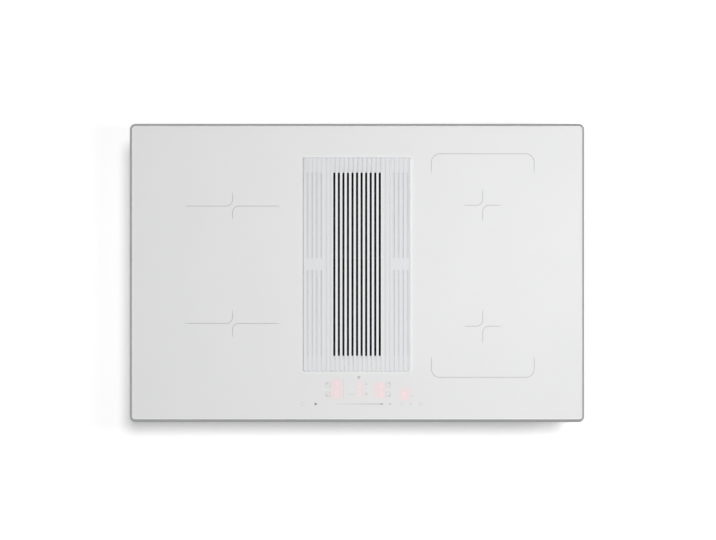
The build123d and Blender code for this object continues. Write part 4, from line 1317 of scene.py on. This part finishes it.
# %% Plenum ribs
duct_low, duct_high = in_mm(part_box("plenum_duct"))
FAN_X = 215.0
DUCT_XS = (104.0, 132.0, 160.0, 188.0)


def on_circle(centre, radius, angle):
    """A spot on a circle on the plan, at an angle in degrees, and the turn there about Z."""
    turn = radians(angle)
    return (centre[0] + radius * cos(turn), centre[1] + radius * sin(turn), 0), turn


duct_rib = tapered_rib("duct_rib", 4.0, 1.5, duct_low.z + 1, duct_high.z - 1)
ribs = copies(duct_rib, [(x, duct_high.y, 0) for x in DUCT_XS], (0, 0, -pi / 2))
ribs += copies(duct_rib, [(x, -duct_high.y, 0) for x in DUCT_XS], (0, 0, pi / 2))
for angle in (-70, -45, -20, 20, 45, 70):
    spot, turn = on_circle((FAN_X, 0), duct_high.y, angle)
    ribs += copies(duct_rib, [spot], (0, 0, turn + pi))
discard(duct_rib)
place(join("plenum_ribs", ribs), "root", grey_plastic)
print("plenum ribs:", len(ribs))

# %% [markdown]
# ## Fan scroll
# Two moulded shells meet at a rim, and snap clips hold them together. The scroll's wall grows in
# four quarter turns, each with its own middle and a larger radius. The same four numbers give the
# places of the clips and of the ribs between them.

# %% Scroll clips
QUARTERS = [
    ((FAN_X, 0.0), 90.5),
    ((FAN_X, -12.5), 103.0),
    ((227.5, -12.5), 115.5),
    ((227.5, 0.0), 128.0),
]
CLIP_ANGLES = (100, 135, 165, 195, 225, 255, 285, 315, 345)
STRAIGHT_WALL = (355.5, 34.0, 0)
rim_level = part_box("scroll_lower")[1].z / MM


def along_wall(pattern, angles):
    """Copies of a pattern on the scroll's outer wall, at angles in degrees, facing outwards."""
    made = []
    for angle in angles:
        spot, turn = on_circle(*QUARTERS[angle // 90], angle)
        made += copies(pattern, [spot], (0, 0, turn + pi))
    return made


clip = block("snap_clip", (-8.0, -6.5, rim_level - 6.0), (0.5, 6.5, rim_level + 6.0))
sink(clip, lambda face: face.normal.x < -0.9, 2.2, (1.2, 0, 0))
soften(clip, 0.6)
clips = along_wall(clip, CLIP_ANGLES) + copies(clip, [STRAIGHT_WALL], (0, 0, pi))
discard(clip)
place(join("scroll_clips", clips), "root", grey_plastic)
print("clips:", len(clips))

# %% Scroll ribs
SCROLL_FOOT = -187.0
SCROLL_TOP = -91.5
low_rib = tapered_rib("low_rib", 4.5, 1.6, SCROLL_FOOT, rim_level - 2.0)
high_rib = tapered_rib("high_rib", 1.6, 4.5, rim_level + 2.0, SCROLL_TOP)
rib_angles = [angle for angle in range(105, 360, 15) if angle not in CLIP_ANGLES]
ribs = along_wall(low_rib, rib_angles) + along_wall(high_rib, rib_angles)
discard(low_rib, high_rib)
place(join("scroll_ribs", ribs), "root", grey_plastic)
print("scroll ribs:", len(ribs))

# %% [markdown]
# ## Scroll floor and feet
# The floor round the motor is stiffened by rings and spokes, cast with the shell. A ring is a
# small upright face spun all the way round. Four rubber feet take the fan's hum; each is a
# rounded cylinder whose face is inset and pushed in, so that it grips like a cup.

# %% Scroll floor
FLOOR_Z = -188.5


def spun_ring(name, centre, inner, outer, low, high, soft=0.4, steps=64):
    """A ring with a square section: an upright face spun round its middle."""
    x, y = centre
    spot = (x + (inner + outer) / 2, y, (low + high) / 2)
    ring = flat_plane(name, spot, outer - inner, high - low, (pi / 2, 0, 0))
    pick_all(ring, "FACE")
    bpy.ops.mesh.spin(steps=steps, angle=2 * pi, center=(x * MM, y * MM, 0), axis=(0, 0, 1))
    bpy.ops.object.mode_set(mode="OBJECT")
    return soften(face_out(ring), soft)


rings = [
    spun_ring("motor_ring", (FAN_X, 0), 52.0, 54.4, FLOOR_Z - 2.4, FLOOR_Z + 0.4),
    spun_ring("outer_ring", (FAN_X, 0), 86.0, 88.0, FLOOR_Z - 1.8, FLOOR_Z + 0.4),
]
spoke = soften(block("spoke", (54.0, -1.0, FLOOR_Z - 1.8), (86.5, 1.0, FLOOR_Z + 0.4)), 0.4)
for angle in range(0, 360, 30):
    rings += copies(spoke, [(FAN_X, 0, 0)], (0, 0, radians(angle)))
discard(spoke)
place(join("scroll_floor_ribs", rings), "root", grey_plastic)
print("floor ribs and rings:", len(rings))

# %% Rubber feet
FOOT_CIRCLE = 78.0
lowest = cad_box[0][2] / MM
foot = rod("rubber_foot", 9.4, lowest, lowest + 3.2, 32)
bevel_edges(foot, level_at(lowest), 0.8, 3)
sink(foot, lambda face: face.normal.z < -0.999, 2.6, (0, 0, 1.0))
smooth(foot, 40)
foot_spots = [on_circle((FAN_X, 0), FOOT_CIRCLE, angle)[0] for angle in (45, 135, 225, 315)]
lay_out("rubber_feet", foot, foot_spots, "root", rubber)
print("feet:", len(foot_spots))

# %% [markdown]
# ## Outlet
# The flare widens to a flat spigot that a duct slides over. Raised bands stiffen it, and a lip of
# soft rubber near its end seals the duct. Each band is the flat band of the sealing bead again,
# stood upright round the spigot.

# %% Spigot bands
SPIGOT_WIDTH = 217.0
SPIGOT_HEIGHT = 84.0
SPIGOT_X = (148.0 + 365.0) / 2
SPIGOT_Z = -139.25
STANDING = (pi / 2, 0, 0)


def spigot_band(name, y, proud, thickness, corner):
    """A band round the spigot at a depth, standing proud of it."""
    size = (SPIGOT_WIDTH + 2 * proud, SPIGOT_HEIGHT + 2 * proud)
    spot = (SPIGOT_X, y, SPIGOT_Z)
    return flat_band(name, size, spot, STANDING, corner, proud + 1.0, thickness, 0.4)


stiff_bands = [spigot_band("stiff_band", y, 1.8, 2.4, 1.6) for y in (204.0, 218.0)]
spigot_bands = join("spigot_bands", stiff_bands)
place(spigot_bands, "root", grey_plastic)
lip = spigot_band("duct_seal", 241.0, 1.6, 6.0, 1.5)
place(lip, "root", rubber)
print("bands:", spigot_bands.name, lip.name)

# %% [markdown]
# ## Drip drawer
# A hand pulls the drawer by a ledge. Fine ridges under its front edge give the fingers a hold,
# and a raised frame stiffens the front panel. Inside, three rails keep a soaked pad off the
# floor. All of them ride on the drawer.

# %% Drawer front
RIDGE_STEP = 2.2
pull_front = drawer_low.y
pull_low = drawer_high.z - 4.0
panel_height = pull_low - drawer_low.z
ridge = block("grip_ridge", (-30.0, pull_front + 0.2, 0), (30.0, pull_front + 1.2, 0.9))
soften(ridge, 0.3)
ridges = copies(ridge, [(0, step * RIDGE_STEP, pull_low - 0.7) for step in range(4)])
discard(ridge)
panel_middle = (0, pull_front + 10.2, drawer_low.z + panel_height / 2 - 1.0)
frame_band = flat_band(
    "panel_frame",
    (154.0, panel_height - 8.0),
    panel_middle,
    STANDING,
    corner=4.0,
    border=2.0,
    thickness=1.6,
    soft=0.5,
)
drawer_trim = join("drawer_trim", [*ridges, frame_band])
place(drawer_trim, "drip_drawer", grey_plastic)
print("drawer trim:", len(ridges), "ridges")

# %% Drawer rails
RAIL_Y = 18.0
inside_floor = drawer_low.z + 1.8
rail = soften(block("drawer_rail", (-1.5, -150.0, 0), (1.5, 150.0, 3.0)), 0.8)
rail_spots = [(x, RAIL_Y, inside_floor) for x in (-42, 0, 42)]
rails = lay_out("drawer_rails", rail, rail_spots, "drip_drawer", grey_plastic)
print("rails:", rails.name)

# %% [markdown]
# ## Fixings
# Screws with threads press the worktop against the rim from below. A thread that is never undone
# may be drawn as a stack of fine rings. Each ring is a torus with few sides, copied up the screw.

# %% Clamp threads
CLAMP_X = 379.7
CLAMP_YS = (-95.0, 95.0)
THREAD_RADIUS = 2.5
THREAD_PITCH = 1.5
thread_levels = [-45.0 + step * THREAD_PITCH for step in range(15)]
clear_bench()
bpy.ops.mesh.primitive_torus_add(
    major_segments=16, minor_segments=4, major_radius=THREAD_RADIUS * MM, minor_radius=0.45 * MM
)
thread = smooth(settle(bpy.context.object, "thread"), 60)
thread_spots = []
for x in (-CLAMP_X, CLAMP_X):
    for y in CLAMP_YS:
        thread_spots += [(x, y, level) for level in thread_levels]
lay_out("clamp_threads", thread, thread_spots, "root", screw_metal)
print("thread rings:", len(thread_spots))

# %% [markdown]
# ## Side walls of the tray
# The clamps are riveted to the side walls, and at each corner the folded wall laps over its
# neighbour and is riveted too. A lap is a thin softened block, turned to face its own side.

# %% Wall rivets
CLAMP_PLATE = 2.0
wall_x = walls_high.x
wall_rivet = domed_head("wall_rivet", 2.4, 1.3)
rivets = []
for side in (-1, 1):
    clamp_face = side * (wall_x + CLAMP_PLATE)
    spots = [(clamp_face, y + step, -26.0) for y in CLAMP_YS for step in (-6.5, 6.5)]
    spots += [(side * wall_x, y, z) for y in (-CORNER_Y, CORNER_Y) for z in (-44.0, -27.0)]
    rivets += copies(wall_rivet, spots, (0, -side * pi / 2, 0))
discard(wall_rivet)
place(join("wall_rivets", rivets), "root", screw_metal)
print("wall rivets:", len(rivets))

# %% Corner laps
lap = soften(block("corner_lap", (-0.9, -9.0, -51.0), (0.2, 9.0, -3.0)), 0.4)
laps = copies(lap, [(-wall_x, y, 0) for y in (-CORNER_Y, CORNER_Y)])
laps += copies(lap, [(wall_x, y, 0) for y in (-CORNER_Y, CORNER_Y)], (0, 0, pi))
discard(lap)
place(join("corner_laps", laps), "root", zinc_steel)
print("laps:", len(laps))

# %% [markdown]
# ## Cable gland
# The mains lead enters through a gland. Its nut has ridges for the fingers and a soft insert
# that grips the lead. The ridges are one bevelled bar, copied round the nut, and the insert is
# a thick ring, so the way in stays open.

# %% Gland ridges and insert
GLAND_RADIUS = 9.5
GLAND_RIDGES = 14
INSERT_Y = 244.5
gland_low, gland_high = in_mm(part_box("cable_gland"))
gland = (gland_low + gland_high) / 2
nut_inside, nut_outside = GLAND_RADIUS - 0.5, GLAND_RADIUS + 1.1
bar = soften(block("gland_ridge", (-0.9, 245.0, nut_inside), (0.9, 251.5, nut_outside)), 0.45)
ridges = []
for step in range(GLAND_RIDGES):
    ridges += copies(bar, [(gland.x, 0, gland.z)], (0, step * 2 * pi / GLAND_RIDGES, 0))
discard(bar)
place(join("gland_ridges", ridges), "root", black_plastic)
insert = spun_ring("gland_insert", (0, 0), 4.2, 6.4, -6.0, 6.0, soft=0.9, steps=32)
move_to(insert, (gland.x, INSERT_Y, gland.z), STANDING)
place(insert, "root", rubber)
print("gland ridges:", len(ridges))

# %% [markdown]
# ## Terminal cover
# The cover over the mains terminals is held by two screws and stiffened by five low ribs
# between them. Both are the screw head and the softened block again, copied along it.

# %% Terminal cover
COVER_X = -185.0
COVER_Y = 203.8
cover_level = in_mm(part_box("terminal_cover"))[0].z
cover_screw = domed_head("cover_screw", 3.4, 1.7, 0.9)
screw_spots = [(COVER_X + reach, COVER_Y, cover_level) for reach in (-38.0, 38.0)]
lay_out("cover_screws", cover_screw, screw_spots, "root", screw_metal)
cover_rib = soften(block("cover_rib", (-28.0, -1.0, -0.9), (28.0, 1.0, 0.4)), 0.35)
rib_spots = [(COVER_X, COVER_Y + step * 7.0, cover_level) for step in range(-2, 3)]
lay_out("cover_ribs", cover_rib, rib_spots, "root", black_plastic)
print("cover ribs:", len(rib_spots))

# %% [markdown]
# ## Backdraft flap
# The flap is a light plate, so it is stiffened by three bars on the side of the duct. They are
# narrow enough to stay clear of the duct when the flap swings up.

# %% Flap bars
flap_low, flap_high = in_mm(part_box("backdraft_flap"))
flap_middle = (flap_low + flap_high) / 2
bar = soften(block("flap_bar", (-95.0, -0.3, -1.2), (95.0, 1.2, 1.2)), 0.5)
bar_spots = [(flap_middle.x, flap_middle.y + 0.8, z) for z in (-122.0, -142.0, -162.0)]
lay_out("flap_bars", bar, bar_spots, "flap", black_plastic)
print("flap bars:", len(bar_spots))

# %% [markdown]
# ## Filter basket trim
# The basket's top edge is rolled over a wire, and the handle is riveted to its sides. The wire
# is a band round the basket with a wide bevel, which leaves a nearly round section.

# %% Basket edge and handle rivets
HANDLE_Y = 15.0
TAB_Z = -14.5
basket_low, basket_high = in_mm(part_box("filter_frame"))
basket_size = basket_high - basket_low
tab_face = in_mm(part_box("filter_handle"))[1].x - 3.0
wire = flat_band(
    "basket_wire",
    (basket_size.x - 0.4, basket_size.y - 0.4),
    (0, (basket_low.y + basket_high.y) / 2, basket_high.z + 0.5),
    FLAT,
    corner=5.8,
    border=1.8,
    thickness=1.6,
    soft=0.6,
)
handle_rivet = domed_head("handle_rivet", 2.3, 1.2)
trim = [wire]
for side in (-1, 1):
    spots = [(side * tab_face, HANDLE_Y + step, TAB_Z) for step in (-5.0, 5.0)]
    trim += copies(handle_rivet, spots, (0, side * pi / 2, 0))
discard(handle_rivet)
basket_trim = smooth(join("basket_trim", trim))
place(basket_trim, "filter", filter_coat)
print("basket trim:", len(trim), "pieces")

# %% [markdown]
# ## Floor
# The object stands on a pale floor. The floor gives off a little light to the camera and to
# reflections alone, so it looks nearly white, keeps the shadow and lights nothing.

# %% Floor
FLOOR_LIFT = 0.325
clear_bench()
bpy.ops.mesh.primitive_plane_add(size=14, location=(0, 0, cad_box[0][2]))
floor = settle(bpy.context.object, "studio_floor")
paint = mottled("studio_floor", 3.0, (0.915, 0.915, 0.915), (0.925, 0.925, 0.925), 0.9)
lift = add_node(paint, "Emission")
link(paint, combine(paint, "MULTIPLY", seen_rays(paint), FLOOR_LIFT), lift.inputs["Strength"])
both = add_node(paint, "AddShader")
link(paint, shader_of(paint).outputs["BSDF"], both.inputs[0])
link(paint, lift.outputs["Emission"], both.inputs[1])
link(paint, both.outputs["Shader"], paint.node_tree.nodes["Material Output"].inputs["Surface"])
floor.data.materials.append(paint)
print("floor at", round(cad_box[0][2], 4))
